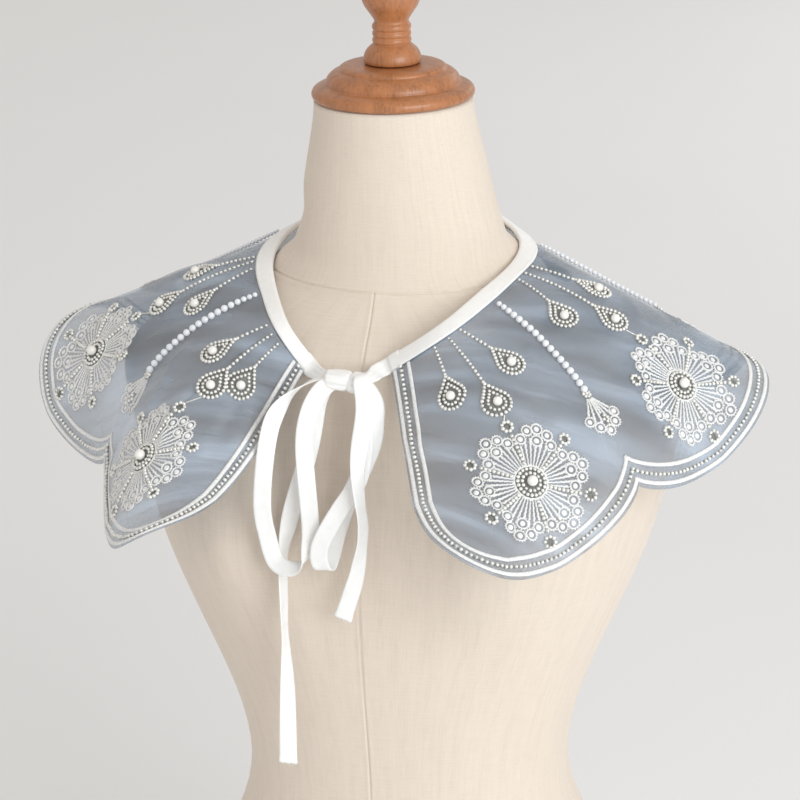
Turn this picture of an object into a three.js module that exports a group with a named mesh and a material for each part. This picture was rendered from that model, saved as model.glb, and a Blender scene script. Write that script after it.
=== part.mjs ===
// A false collar of sheer organza, beaded and embroidered, tied with a ribbon bow.
// It lies on a limbless linen dress form with a turned wooden neck cap.
// Millimetres, +Z up, the wearer's front towards -Y, the wearer's left towards +X.
// The origin is the middle of the form's flat underside.
import * as THREE from "three";

// ---------- Driving sizes ----------
const CAP_HEIGHT = 690; // top of the wooden cap's stack above the underside
const PANEL_WALL = 1.2; // organza, stiffened to a printable wall
const SEAM_GAP = 0.3; // clear gap between neighbouring pieces
const RIBBON_WIDTH = 10.8; // neckband and bow ribbon, folded
const RIBBON_WALL = 1.2;
const LOBE_TIP = 185; // neck edge to the tip of a lobe, along the cloth
const LOBE_NOTCH = 160; // neck edge to the notch between two lobes
const LOBE_ROUND = 1.45; // fullness of the lobe's outline
const LOBE_SHOULDER = 0.76;
const FRONT_EDGE_TOP = 0.93; // half width of the front lobe at the neck, in half lobes
const FRONT_EDGE_LOW = 1.2; // the same at the lower front corner
const FRONT_CORNER = 126; // neck edge to the start of the rounded front corner
const RIM_START = 14; // neck edge to the top of the rim's cords, just past the ribbon
const NOTCH_MITRE = 1.48; // how much deeper the rim runs inside a notch
const FLOWER_AT = 132; // neck edge to the flower's middle
const FLOWER_REACH = 38;
const FAN_AT = 100; // neck edge to the top of a fan
const DROP_MIDDLE_AT = 77;
const DROP_SIDE_AT = 55;
const DROP_SIDE_TURN = 0.205; // stations from the lobe's middle line
const STRING_SIDE_TURN = 0.112;
const STRING_AT = 12.5;
const DROP_LENGTH = 22;
const DROP_WIDTH = 16;
const PEARL = 4;
const LAYER = PANEL_WALL / 2 + SEAM_GAP; // underside of the neckband's sides
const TRIM_LAYER = LAYER + 0.8; // underside of the wide trim, clear of the facets of the panel
const STRIP_LAYER = LAYER + 0.45; // underside of the narrow trim

// ---------- Curves through short tables ----------
// Natural cubic spline through equally spaced values.
function spline(values) {
  const n = values.length;
  const bend = new Array(n).fill(0);
  const factor = new Array(n).fill(0);
  for (let i = 1; i < n - 1; i++) {
    const pull = 6 * (values[i + 1] - 2 * values[i] + values[i - 1]);
    const pivot = 4 - factor[i - 1];
    factor[i] = 1 / pivot;
    bend[i] = (pull - bend[i - 1]) / pivot;
  }
  for (let i = n - 2; i > 0; i--) {
    bend[i] -= factor[i] * bend[i + 1];
  }
  return (at) => {
    const i = Math.min(Math.max(Math.floor(at), 0), n - 2);
    const b = at - i;
    const a = 1 - b;
    const arch = ((a * a * a - a) * bend[i] + (b * b * b - b) * bend[i + 1]) / 6;
    return a * values[i] + b * values[i + 1] + arch;
  };
}

function splineTable(rows, columns) {
  const parts = columns.map((name) => spline(rows.map((row) => row[name])));
  return (at) => Object.fromEntries(columns.map((name, i) => [name, parts[i](at)]));
}

function rowsOf(columns, values) {
  return values.map((row) => Object.fromEntries(columns.map((name, i) => [name, row[i]])));
}

const radians = THREE.MathUtils.degToRad;

// ---------- Collar surface ----------
// One row every half lobe, from the wearer's left front edge round the back to the right front edge.
// x, y and z are the neck edge below the cap datum, heading is the way the cloth runs out
// (0 forwards, 90 to the wearer's left), slope is its fall there, bend the change of fall in
// 100 mm, and short is how much nearer the embroidery lies to the neck edge.
const SPOKE_COLUMNS = ["x", "y", "z", "heading", "slope", "bend", "short"];
const SPOKES = rowsOf(SPOKE_COLUMNS, [
  [14, -77.5, -163, 32, 34, -9, 11],
  [48, -74.5, -140, 47.5, 19, 28, 11],
  [63.5, -41, -128.5, 65, 17.5, 27, 3],
  [72.5, -4, -122, 78, 7, 31.5, 0],
  [69.5, 33, -112.5, 101, 29, 0, 0],
  [38, 55, -99, 130, 55, 6, 0],
  [-1, 66, -94, 180, 60, 8, 0],
  [-41, 53, -99, 230, 54, 6, 0],
  [-75, 29.5, -112, 261, 28.5, -4, 0],
  [-79.5, -7.5, -124, 281, 12, 25, 0],
  [-65.5, -43, -134, 295, 12.5, 38.5, 3],
  [-48, -73, -146, 318, 14.5, 29.5, 11],
  [-31.5, -77, -166, 336, 41, -20, 11],
]);
const spokeAt = splineTable(SPOKES, SPOKE_COLUMNS);
const GAUSS = [
  [0.0694318442, 0.1739274226],
  [0.3300094782, 0.3260725774],
  [0.6699905218, 0.3260725774],
  [0.9305681558, 0.1739274226],
];

// Point of the cloth's mid surface: station along the neck (0 to 6, a lobe each), run from the neck edge.
function clothPoint(station, run) {
  const row = spokeAt(2 * station);
  let out = 0;
  let down = 0;
  for (const [place, weight] of GAUSS) {
    const fall = radians(row.slope + (row.bend * run * place) / 100);
    out += weight * run * Math.cos(fall);
    down += weight * run * Math.sin(fall);
  }
  const heading = radians(row.heading);
  return new THREE.Vector3(
    row.x + out * Math.sin(heading),
    row.y - out * Math.cos(heading),
    CAP_HEIGHT + row.z - down,
  );
}

function clothFrame(station, run) {
  const ds = 0.002;
  const dr = 0.1;
  const along = clothPoint(station + ds, run).sub(clothPoint(station - ds, run)).divideScalar(2 * ds);
  const outward = clothPoint(station, run + dr).sub(clothPoint(station, run - dr)).divideScalar(2 * dr);
  const normal = new THREE.Vector3().crossVectors(outward, along).normalize();
  return { along, outward, normal };
}

// The cloth's point moved out of it by a height.
function lifted([station, run], height) {
  const { normal } = clothFrame(station, run);
  return clothPoint(station, run).addScaledVector(normal, height);
}

// Station and run of the place that lies across and outward (mm) from a middle.
function offsetPlace([station, run], across, outward) {
  const frame = clothFrame(station, run);
  const out = frame.outward.clone().normalize();
  const side = frame.along.clone().addScaledVector(out, -frame.along.dot(out)).normalize();
  const step = side.multiplyScalar(across).addScaledVector(out, outward);
  const aa = frame.along.dot(frame.along);
  const ao = frame.along.dot(frame.outward);
  const oo = frame.outward.dot(frame.outward);
  const sa = step.dot(frame.along);
  const so = step.dot(frame.outward);
  const det = aa * oo - ao * ao;
  return [station + (sa * oo - so * ao) / det, run + (so * aa - sa * ao) / det];
}

// A place named by its distance from the neck edge in the flat cut.
function spot(station, cut) {
  const { short } = spokeAt(2 * station);
  return [station, cut - short * Math.min(1, cut / 60)];
}

// ---------- Outline of the cut ----------
const FRONT_END = 0.5 - 0.5 * FRONT_EDGE_TOP;

function stationWidth(cut) {
  return 82 + 0.48 * cut;
}

// Distance of the hem from the neck edge where the half lobes' count is w, inset from the edge.
function hemCut(w, inset) {
  const notch = LOBE_NOTCH - NOTCH_MITRE * inset;
  const tip = LOBE_TIP - inset;
  const full = Math.max(0, 1 - Math.abs(w) ** LOBE_ROUND) ** LOBE_SHOULDER;
  return notch + (tip - notch) * full;
}

// The wearer's left front edge from a distance below the neck down, then round the corner to the lobe's tip.
const FRONT_STEPS = [0, 0.2, 0.4, 0.6, 0.8, 1];
const CORNER_STEPS = [0.14, 0.3, 0.46, 0.62, 0.8, 1];
const LOBE_STEPS = [0.25, 0.5, 0.72, 0.88, 1];

function frontEdge(inset, start) {
  return FRONT_STEPS.map((step) => {
    const t = THREE.MathUtils.lerp(start / FRONT_CORNER, 1, step);
    const cut = t * FRONT_CORNER;
    const w = FRONT_EDGE_TOP + (FRONT_EDGE_LOW - FRONT_EDGE_TOP) * t;
    return [0.5 - 0.5 * w + inset / stationWidth(cut), cut];
  });
}

function frontCorner(inset) {
  const reach = FRONT_EDGE_LOW - (2 * inset) / stationWidth(FRONT_CORNER);
  return CORNER_STEPS.map((t) => {
    const share = 1 - t * t;
    const full = Math.max(0, 1 - share ** 4) ** 0.3;
    return [0.5 - 0.5 * reach * share, FRONT_CORNER + (LOBE_TIP - inset - FRONT_CORNER) * full];
  });
}

// Hem from the tip of the first lobe to the tip of the last.
function hemBetweenTips(inset) {
  const places = [];
  for (let lobe = 0; lobe < 6; lobe++) {
    const middle = lobe + 0.5;
    if (lobe > 0) {
      [...LOBE_STEPS].reverse().slice(1).forEach((w) => places.push([middle - 0.5 * w, hemCut(w, inset)]));
      places.push([middle, hemCut(0, inset)]);
    }
    if (lobe < 5) {
      LOBE_STEPS.forEach((w) => places.push([middle + 0.5 * w, hemCut(w, inset)]));
    }
  }
  return places;
}

const mirrored = (places) => places.map(([s, cut]) => [6 - s, cut]).reverse();
const placed = (places) => places.map(([s, cut]) => spot(s, cut));

function rimPath(inset) {
  const left = [...frontEdge(inset, RIM_START), ...frontCorner(inset)];
  return placed([...left, ...hemBetweenTips(inset), ...mirrored(left)]);
}

// ---------- Closed walls ----------
function meshOf(name, positions, index, look) {
  const geometry = new THREE.BufferGeometry();
  geometry.setAttribute("position", new THREE.Float32BufferAttribute(positions, 3));
  geometry.setIndex(index);
  geometry.computeVertexNormals();
  const material = new THREE.MeshStandardMaterial(look);
  const mesh = new THREE.Mesh(geometry, material);
  mesh.name = name;
  return mesh;
}

// A closed wall from a grid of columns of places, between two heights off the cloth.
function clothWall(name, columns, low, high, look) {
  const wide = columns.length;
  const tall = columns[0].length;
  const positions = [];
  for (const height of [high, low]) {
    for (const column of columns) {
      for (const place of column) {
        positions.push(...lifted(place, height).toArray());
      }
    }
  }
  const top = (i, j) => i * tall + j;
  const under = (i, j) => wide * tall + i * tall + j;
  const index = [];
  const quad = (a, b, c, d) => index.push(a, b, c, a, c, d);
  for (let i = 0; i < wide - 1; i++) {
    for (let j = 0; j < tall - 1; j++) {
      quad(top(i, j), top(i, j + 1), top(i + 1, j + 1), top(i + 1, j));
      quad(under(i, j), under(i + 1, j), under(i + 1, j + 1), under(i, j + 1));
    }
    quad(top(i, 0), top(i + 1, 0), under(i + 1, 0), under(i, 0));
    quad(top(i, tall - 1), under(i, tall - 1), under(i + 1, tall - 1), top(i + 1, tall - 1));
  }
  for (let j = 0; j < tall - 1; j++) {
    quad(top(0, j), under(0, j), under(0, j + 1), top(0, j + 1));
    quad(top(wide - 1, j), top(wide - 1, j + 1), under(wide - 1, j + 1), under(wide - 1, j));
  }
  return meshOf(name, positions, index, look);
}

// A plaque on the cloth: a middle place and an outline of places round it, in two rings.
function clothPlaque(name, middle, outline, high, look) {
  const ringOf = (share) =>
    outline.map(([across, outward]) => offsetPlace(middle, across * share, outward * share));
  const rings = [ringOf(0.36), ringOf(0.7), ringOf(1)];
  const count = outline.length;
  const positions = [];
  for (const height of [TRIM_LAYER + high, TRIM_LAYER]) {
    positions.push(...lifted(middle, height).toArray());
    for (const ring of rings) {
      ring.forEach((place) => positions.push(...lifted(place, height).toArray()));
    }
  }
  const under = 1 + rings.length * count;
  const rim = 1 + (rings.length - 1) * count;
  const index = [];
  for (let i = 0; i < count; i++) {
    const k = (i + 1) % count;
    index.push(0, 1 + i, 1 + k);
    index.push(under, under + 1 + k, under + 1 + i);
    for (let ring = 0; ring < rings.length - 1; ring++) {
      const a = 1 + ring * count + i;
      const b = 1 + ring * count + k;
      index.push(a, a + count, b + count, a, b + count, b);
      index.push(under + a, under + b + count, under + a + count);
      index.push(under + a, under + b, under + b + count);
    }
    index.push(rim + i, under + rim + i, under + rim + k, rim + i, under + rim + k, rim + k);
  }
  return meshOf(name, positions, index, look);
}

// A closed sweep of a section along frames; each frame gives the section's points in space.
function sweep(name, rings, look) {
  const count = rings[0].length;
  const positions = rings.flat().flatMap((point) => point.toArray());
  const index = [];
  for (let i = 0; i < rings.length - 1; i++) {
    for (let j = 0; j < count; j++) {
      const k = (j + 1) % count;
      const a = i * count + j;
      const b = i * count + k;
      index.push(a, b, b + count, a, b + count, a + count);
    }
  }
  const faces = THREE.ShapeUtils.triangulateShape(sectionShape(rings[0]), []);
  const last = (rings.length - 1) * count;
  for (const [a, b, c] of faces) {
    index.push(a, c, b);
    index.push(last + a, last + b, last + c);
  }
  return meshOf(name, positions, index, look);
}

// The end section laid flat, counter-clockwise, for its triangles.
function sectionShape(ring) {
  const origin = ring[0];
  const u = ring[1].clone().sub(origin).normalize();
  const n = new THREE.Vector3();
  for (let i = 1; i < ring.length - 1; i++) {
    const a = ring[i].clone().sub(origin);
    const b = ring[i + 1].clone().sub(origin);
    n.add(a.cross(b));
  }
  const v = n.normalize().cross(u);
  return ring.map((point) => {
    const offset = point.clone().sub(origin);
    return new THREE.Vector2(offset.dot(u), offset.dot(v));
  });
}

// ---------- Looks ----------
const ORGANZA = { color: 0xdfe3ea, roughness: 0.55, metalness: 0, transparent: true, opacity: 0.6 };
const THREAD = { color: 0xf7f7f5, roughness: 0.7, metalness: 0 };
const SILVER = { color: 0xc9c9c6, roughness: 0.3, metalness: 0.6 };
const PEARL_LOOK = { color: 0xf2f0ec, roughness: 0.25, metalness: 0 };
const RIBBON = { color: 0xfafaf8, roughness: 0.6, metalness: 0 };
const LINEN = { color: 0xe6dccb, roughness: 0.85, metalness: 0 };
const WOOD = { color: 0xc08a5a, roughness: 0.45, metalness: 0 };

for (const look of [ORGANZA, THREAD, SILVER, PEARL_LOOK, RIBBON, LINEN, WOOD]) {
  look.side = THREE.FrontSide;
}

const part = new THREE.Group();
part.name = "false_collar";

// ---------- Organza panel ----------
const PANEL_ROWS = 13;

function panelColumns() {
  const front = frontEdge(0, 0);
  const shares = Array.from({ length: PANEL_ROWS + 1 }, (_, j) => j / PANEL_ROWS);
  const lerp = THREE.MathUtils.lerp;
  const column = (from, [s, cut]) => shares.map((t) => [lerp(from, s, t), lerp(1.5, cut, t)]);
  const corner = frontCorner(0).map(([s, cut], i) => {
    const from = lerp(FRONT_END, 0.5, CORNER_STEPS[i]);
    return column(from, [s, cut]);
  });
  const first = column(FRONT_END, front[front.length - 1]);
  const left = [first, ...corner];
  const middle = hemBetweenTips(0).map((place) => column(place[0], place));
  const flip = ([s, cut]) => [6 - s, cut];
  const right = left.map((places) => places.map(flip)).reverse();
  return [...left, ...middle, ...right].map(placed);
}

const PANEL_COLUMNS = panelColumns();
part.add(clothWall("collar_panel", PANEL_COLUMNS, -PANEL_WALL / 2, PANEL_WALL / 2, ORGANZA));

// ---------- Rim ----------
function rimStrip(name, inset, width, height, look) {
  const edges = [rimPath(inset + width / 2), rimPath(inset - width / 2)];
  const columns = edges[0].map((_, i) => edges.map((edge) => edge[i]));
  part.add(clothWall(name, columns, TRIM_LAYER, TRIM_LAYER + height, look));
}

rimStrip("rim_cord_outer", 2.6, 2.4, 1, THREAD);
rimStrip("rim_bead_row", 6.1, 2.2, 1.6, SILVER);
rimStrip("rim_cord_inner", 10, 2, 1, THREAD);

// ---------- Embroidery ----------
// Outline of the flower: six fan petals, each a wide arc, with a cleft between two.
function flowerOutline() {
  const outline = [];
  for (let petal = 0; petal < 6; petal++) {
    for (const [turn, reach] of [[-24, 0.86], [-13, 0.97], [0, 1], [13, 0.97], [24, 0.86], [30, 0.62]]) {
      const angle = radians(petal * 60 + 30 + turn);
      const radius = FLOWER_REACH * reach;
      outline.push([radius * Math.sin(angle), -radius * Math.cos(angle)]);
    }
  }
  return outline;
}

// Outline of a fan about its middle: a narrow top and a wide rounded foot.
function fanOutline() {
  const half = [[3, -15], [3.4, -11], [6, -3], [9.5, 4.5], [9.6, 9], [5.5, 12.6]];
  const other = half.map(([across, outward]) => [-across, outward]).reverse();
  return [[0, -16.5], ...half, [0, 14], ...other];
}

function clockwise(outline) {
  let area = 0;
  outline.forEach(([x, y], i) => {
    const [x2, y2] = outline[(i + 1) % outline.length];
    area += x * y2 - x2 * y;
  });
  return area < 0 ? outline : [...outline].reverse();
}

// A raised strip on the cloth from one place to another; stops are shares of its length and widths there.
function clothStrip(name, from, to, stops, height, look) {
  const columns = stops.map(({ share, width }) => {
    const s = THREE.MathUtils.lerp(from[0], to[0], share);
    const run = THREE.MathUtils.lerp(from[1], to[1], share);
    const half = width / 2 / stationWidth(run);
    return [[s + half, run], [s - half, run]];
  });
  return clothWall(name, columns, STRIP_LAYER, STRIP_LAYER + height, look);
}

// Widths along a drop and its string: a narrow string, then the drop widening to its round foot.
const DROP_STOPS = rowsOf(["part", "width"], [
  [0, 0.16], [0.15, 0.34], [0.3, 0.6], [0.45, 0.84], [0.6, 0.98], [0.72, 1],
  [0.83, 0.9], [0.92, 0.66], [0.98, 0.34], [1, 0.12],
]);

function dropStops(length) {
  const top = length - DROP_LENGTH;
  const string = [0, 1, 2, 3].map((i) => ({ share: (i / 4) * (top / length), width: 2 }));
  const drop = DROP_STOPS.map((row) => ({
    share: (top + row.part * DROP_LENGTH) / length,
    width: row.width * DROP_WIDTH,
  }));
  return [...string, ...drop];
}

for (let lobe = 0; lobe < 6; lobe++) {
  const middle = lobe + 0.5;
  const flower = clockwise(flowerOutline());
  part.add(clothPlaque(`flower_${lobe + 1}`, spot(middle, FLOWER_AT), flower, 1, THREAD));
  const drops = [
    { tag: "a", turn: -DROP_SIDE_TURN, string: -STRING_SIDE_TURN, at: DROP_SIDE_AT },
    { tag: "b", turn: 0, string: 0, at: DROP_MIDDLE_AT },
    { tag: "c", turn: DROP_SIDE_TURN, string: STRING_SIDE_TURN, at: DROP_SIDE_AT },
  ];
  for (const { tag, turn, string, at } of drops) {
    const start = [middle + string, STRING_AT];
    const heart = spot(middle + turn, at);
    const reach = heart[1] - start[1];
    const grown = (reach + 0.42 * DROP_LENGTH) / reach;
    const foot = [start[0] + (heart[0] - start[0]) * grown, start[1] + reach * grown];
    const stops = dropStops(reach * grown);
    part.add(clothStrip(`drop_${lobe + 1}${tag}`, start, foot, stops, 1.6, SILVER));
  }
}

for (let notch = 1; notch < 6; notch++) {
  const top = spot(notch, FAN_AT);
  part.add(clothPlaque(`fan_${notch}`, [notch, top[1] + 12], clockwise(fanOutline()), 1, THREAD));
  const stops = Array.from({ length: 9 }, (_, i) => ({ share: i / 8, width: PEARL * 0.8 }));
  const line = clothStrip(`pearl_line_${notch}`, [notch, STRING_AT], [notch, top[1] - 5], stops, 2.4, PEARL_LOOK);
  part.add(line);
}

// ---------- Neckband ----------
// A ribbon folded over the neck edge: a gutter section swept round the neck.
function neckbandRings() {
  const wide = RIBBON_WIDTH;
  const inner = LAYER + 0.3;
  const outer = inner + RIBBON_WALL;
  const section = [
    [wide, inner], [0.2, inner], [0.2, -inner], [wide, -inner],
    [wide, -outer], [-1.6, -outer], [-1.6, outer], [wide, outer],
  ];
  const stations = PANEL_COLUMNS.map(([[station]]) => station);
  return stations.map((station) => section.map(([run, height]) => lifted([station, run], height)));
}

part.add(sweep("neckband", neckbandRings(), RIBBON));

// ---------- Ties, knot, loops and tails ----------
// lean is the way the ribbon's width runs in plan (0 along +X), dip its rise.
const STRAND_COLUMNS = ["x", "y", "z", "lean", "dip", "width"];

function strand(name, rows, steps, wall) {
  const table = rowsOf(STRAND_COLUMNS, rows);
  const at = splineTable(table, STRAND_COLUMNS);
  const rings = [];
  const spot3 = (t) => {
    const row = at(t);
    return new THREE.Vector3(row.x, row.y, row.z);
  };
  for (let i = 0; i <= steps; i++) {
    const t = ((rows.length - 1) * i) / steps;
    const row = at(t);
    const point = spot3(t);
    const tangent = spot3(t + 0.01).sub(spot3(t - 0.01)).normalize();
    const lean = radians(row.lean);
    const dip = radians(row.dip);
    const side = new THREE.Vector3(
      Math.cos(lean) * Math.cos(dip),
      Math.sin(lean) * Math.cos(dip),
      Math.sin(dip),
    );
    side.addScaledVector(tangent, -side.dot(tangent)).normalize();
    const face = new THREE.Vector3().crossVectors(tangent, side);
    const half = row.width / 2;
    const thick = wall / 2;
    rings.push(
      [[half, thick], [-half, thick], [-half, -thick], [half, -thick]].map(([a, b]) =>
        point.clone().addScaledVector(side, a).addScaledVector(face, b),
      ),
    );
  }
  part.add(sweep(name, rings, RIBBON));
}

const W = RIBBON_WIDTH;
strand("tie_left", [
  [-32.2, -81, 519.4, -112, -44, W],
  [-30, -84.8, 518.8, -112, -50, W],
  [-24, -92.5, 520.6, -100, -68, 9.6],
  [-17.5, -100, 522.9, -92, -80, 7.6],
], 6, 2.2);
strand("tie_right", [
  [16.1, -82.2, 523.5, -57, -34, W],
  [15.1, -86, 522.4, -62, -44, W],
  [14.6, -93, 521.6, -76, -66, 9.6],
  [14, -100, 520.8, -86, -80, 8.4],
], 6, 2.2);

// The knot: a soft bundle wrapped by the ribbon.
const KNOT = { left: -16, right: 12.5, y: -102.5, z: 522.5, height: 12.4, depth: 13 };

function knotRings() {
  const rings = [];
  for (let i = 0; i <= 10; i++) {
    const t = i / 10;
    const x = THREE.MathUtils.lerp(KNOT.left, KNOT.right, t);
    const waist = 1 - 0.12 * Math.exp(-(((t - 0.58) / 0.1) ** 2));
    const swell = (0.78 + 0.22 * Math.sin(Math.PI * t) ** 0.5) * waist;
    const ring = [];
    for (let j = 0; j < 12; j++) {
      const angle = (j / 12) * 2 * Math.PI;
      const y = KNOT.y + (KNOT.depth / 2) * swell * Math.cos(angle);
      const z = KNOT.z - 2.4 * t + (KNOT.height / 2) * swell * Math.sin(angle);
      ring.push(new THREE.Vector3(x, y, z));
    }
    rings.push(ring);
  }
  return rings;
}

part.add(sweep("bow_knot", knotRings(), RIBBON));

strand("bow_loop_left", [
  [-16.8, -101.4, 516.7, 100, 0, 7.4],
  [-24, -104, 516, 100, -5, 9.5],
  [-30.5, -109.5, 515.8, 85, -8, 10],
  [-36.2, -115, 511.5, 66, -6, W],
  [-40.8, -122.5, 504.5, 46, -4, W],
  [-43, -130, 494, 30, -2, W],
  [-47, -130, 471.5, 17, 0, W],
  [-51, -124, 445.5, 14, 0, W],
  [-50, -121.5, 429.5, 14, 6, W],
  [-46.5, -121.5, 414.5, 25, 22, W],
  [-41, -123.5, 408.5, 58, 40, W],
  [-33.5, -124, 407.5, 84, 38, W],
  [-26.5, -123.5, 411.5, 78, 20, W],
  [-22.5, -122, 422.5, 36, 8, W],
  [-22.3, -120.5, 439.5, 17, 0, W],
  [-24.5, -119.5, 472.5, 17, 0, W],
  [-24.5, -117.5, 493.5, 17, 0, W],
  [-20.5, -113.5, 510.5, 20, 10, W],
  [-15.5, -108.2, 517.4, 24, 22, 9.5],
], 72, RIBBON_WALL);
strand("bow_loop_right", [
  [12.6, -101.4, 514.6, 62, 0, 9],
  [16.5, -103, 507.5, 58, 0, 10],
  [17.5, -105.5, 498.5, 60, 0, W],
  [16.5, -107, 489.5, 52, 0, W],
  [11.8, -108.5, 476.5, 34, 0, W],
  [3.2, -109.5, 459, 20, 0, W],
  [-3.2, -110.5, 444, 17, 0, W],
  [-8.2, -112, 428, 17, 0, W],
  [-11.5, -114.5, 414, 12, 0, W],
  [-13.5, -119.5, 407.5, 8, 0, W],
  [-15.3, -124.5, 411.5, 6, 0, W],
  [-15.8, -125, 421, 8, 0, W],
  [-11.5, -124.5, 432, 14, 0, W],
  [-3, -120.6, 447, 17, 0, W],
  [4.8, -116.6, 459, 17, 0, W],
  [9.2, -114, 472, 17, 0, W],
  [10.6, -112.8, 486.5, 17, 0, W],
  [9.4, -110.4, 501, 17, 0, 10],
  [5.6, -105.2, 513.8, 17, 0, 9],
], 72, RIBBON_WALL);
strand("tail_long", [
  [-9.4, -101.8, 512.3, 17, 0, 8.4],
  [-21.5, -107, 500.5, 17, 0, W],
  [-22.5, -109.5, 489, 17, 0, W],
  [-27, -111, 470.5, 18, 0, W],
  [-35, -112, 445.5, 20, 0, W],
  [-39.5, -112.5, 427.5, 35, 0, W],
  [-42.5, -113.5, 411, 66, 0, W],
  [-43, -114, 391, 88, 0, W],
  [-43.3, -114, 369, 126, 0, W],
  [-43, -114, 346.5, 165, 0, W],
  [-43, -114, 319, 190, 0, W],
  [-44.5, -113, 273.5, 195, 0, W],
], 44, RIBBON_WALL);
strand("tail_short", [
  [9.5, -109.5, 518.5, 26, 18, 9.5],
  [12.5, -114.5, 507.5, 20, 0, W],
  [11, -118.5, 494, 18, 0, W],
  [9.5, -122, 477, 40, 0, W],
  [9.5, -123, 464, 66, 0, W],
  [10.5, -122.5, 450, 92, 0, W],
  [11, -121, 433, 122, 0, W],
  [8, -119.5, 416, 148, 0, W],
  [4, -118, 400, 175, 0, W],
  [-5, -116.5, 374.5, 192, 0, W],
], 36, RIBBON_WALL);

// ---------- Dress form ----------
// One row a level, from the underside to the neck's top: half width, front and back extents,
// and how square the section is (2 an ellipse).
const FORM_COLUMNS = ["height", "half", "front", "back", "square"];
const FORM = rowsOf(FORM_COLUMNS, [
  [0, 170, -102, 118, 2.35],
  [70, 170, -104, 122, 2.35],
  [130, 148, -101, 113, 2.3],
  [190, 116, -93, 95, 2.2],
  [240, 103, -87, 86, 2.15],
  [290, 113, -91, 93, 2.2],
  [340, 134, -97, 103, 2.3],
  [390, 155, -99, 109, 2.35],
  [430, 167, -100, 111, 2.3],
  [465, 176, -96, 107, 2.2],
  [495, 181, -90, 97, 2.15],
  [513, 173, -83, 91, 2.1],
  [524, 160, -77, 87, 2.05],
  [535, 140, -69, 83, 2.05],
  [545, 115, -60.5, 79, 2.05],
  [558, 83, -52, 77, 1.9],
  [567, 69.3, -48.4, 72, 2],
  [578, 66, -47.3, 65, 2],
  [592, 65, -46.8, 56.5, 2.05],
  [610, 60.5, -46.3, 54, 2],
  [637, 54.5, -46, 52, 2],
  [658, 50, -47.5, 49.5, 2],
  [670.5, 48.5, -48.5, 48.5, 2],
]);
const BUST = { height: 408, apart: 90, spread: 30, rise: 25 };
const FORM_POINTS = 40;

function formRings() {
  const at = splineTable(FORM, FORM_COLUMNS);
  const rings = [];
  const steps = (FORM.length - 1) * 2;
  for (let i = 0; i <= steps; i++) {
    const row = at(i / 2);
    const middle = (row.front + row.back) / 2;
    const deep = (row.back - row.front) / 2;
    const ring = [];
    for (let j = 0; j < FORM_POINTS; j++) {
      const angle = (j / FORM_POINTS) * 2 * Math.PI;
      const c = Math.cos(angle);
      const s = Math.sin(angle);
      const x = row.half * Math.sign(c) * Math.abs(c) ** (2 / row.square);
      const y = middle + deep * Math.sign(s) * Math.abs(s) ** (2 / row.square);
      const away = Math.hypot(Math.abs(x) - BUST.apart, row.height - BUST.height) / BUST.spread;
      const swell = BUST.rise * Math.exp(-0.5 * away * away) * Math.max(0, -s);
      ring.push(new THREE.Vector3(x, y - swell, row.height));
    }
    rings.push(ring);
  }
  return rings;
}

part.add(sweep("form_body", formRings(), LINEN));

// ---------- Turned wood ----------
function turned(name, profile, look) {
  const points = profile.map(([radius, height]) => new THREE.Vector2(radius, CAP_HEIGHT + height));
  const geometry = new THREE.LatheGeometry(points, 36);
  geometry.rotateX(Math.PI / 2);
  const mesh = new THREE.Mesh(geometry, new THREE.MeshStandardMaterial(look));
  mesh.name = name;
  part.add(mesh);
}

turned("neck_cap", [
  [0, -19], [47, -19], [49.4, -17.6], [50, -15], [48.6, -12.4], [45, -10.6], [41, -9.8],
  [41.2, -8.2], [39.6, -5], [36.4, -2.4], [32.6, -1.2], [32.8, 0], [30.6, 1.4], [25, 2], [0, 2],
], WOOD);
turned("neck_finial", [
  [0, 2.3], [16.8, 2.3], [17.7, 4.2], [17.4, 7.4], [15.6, 11], [12.4, 13.8], [11, 14.6],
  [11.9, 15.6], [11.9, 17.4], [11, 18.6], [11.8, 19.6], [11.8, 21.4], [11, 22.6],
  [11.9, 23.8], [11.9, 25.8], [10.6, 27.4], [10.4, 28.8], [13.4, 33.4], [16.4, 37.6],
  [18.3, 42.6], [18.9, 48], [18, 53.6], [15.2, 59], [10.6, 63.2], [5.4, 65.6], [0, 66.4],
], WOOD);

export default part;
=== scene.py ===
"""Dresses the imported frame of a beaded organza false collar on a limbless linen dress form.

Every length in the tables and formulas is in millimetres; metres() turns it into Blender's units.
The wearer's front faces -Y and the wearer's left is +X.
"""

import math
from types import SimpleNamespace

import bmesh
import bpy
import numpy as np
from mathutils import Matrix, Vector


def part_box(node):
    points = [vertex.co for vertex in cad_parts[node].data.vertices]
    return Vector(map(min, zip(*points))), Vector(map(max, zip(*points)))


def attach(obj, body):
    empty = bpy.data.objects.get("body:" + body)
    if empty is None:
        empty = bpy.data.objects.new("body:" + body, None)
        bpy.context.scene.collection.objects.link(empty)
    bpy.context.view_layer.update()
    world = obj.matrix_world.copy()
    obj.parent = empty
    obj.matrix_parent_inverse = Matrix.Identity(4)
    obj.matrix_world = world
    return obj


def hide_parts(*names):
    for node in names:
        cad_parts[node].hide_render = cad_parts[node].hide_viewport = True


bl_info = {
    "name": "Beaded Organza False Collar",
    "version": (1, 0, 0),
    "blender": (4, 5, 0),
    "location": "View3D > Sidebar > Collar",
    "description": "Makes a sheer scalloped collar with beads and a ribbon bow on a dress form",
    "category": "Object",
}

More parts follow.
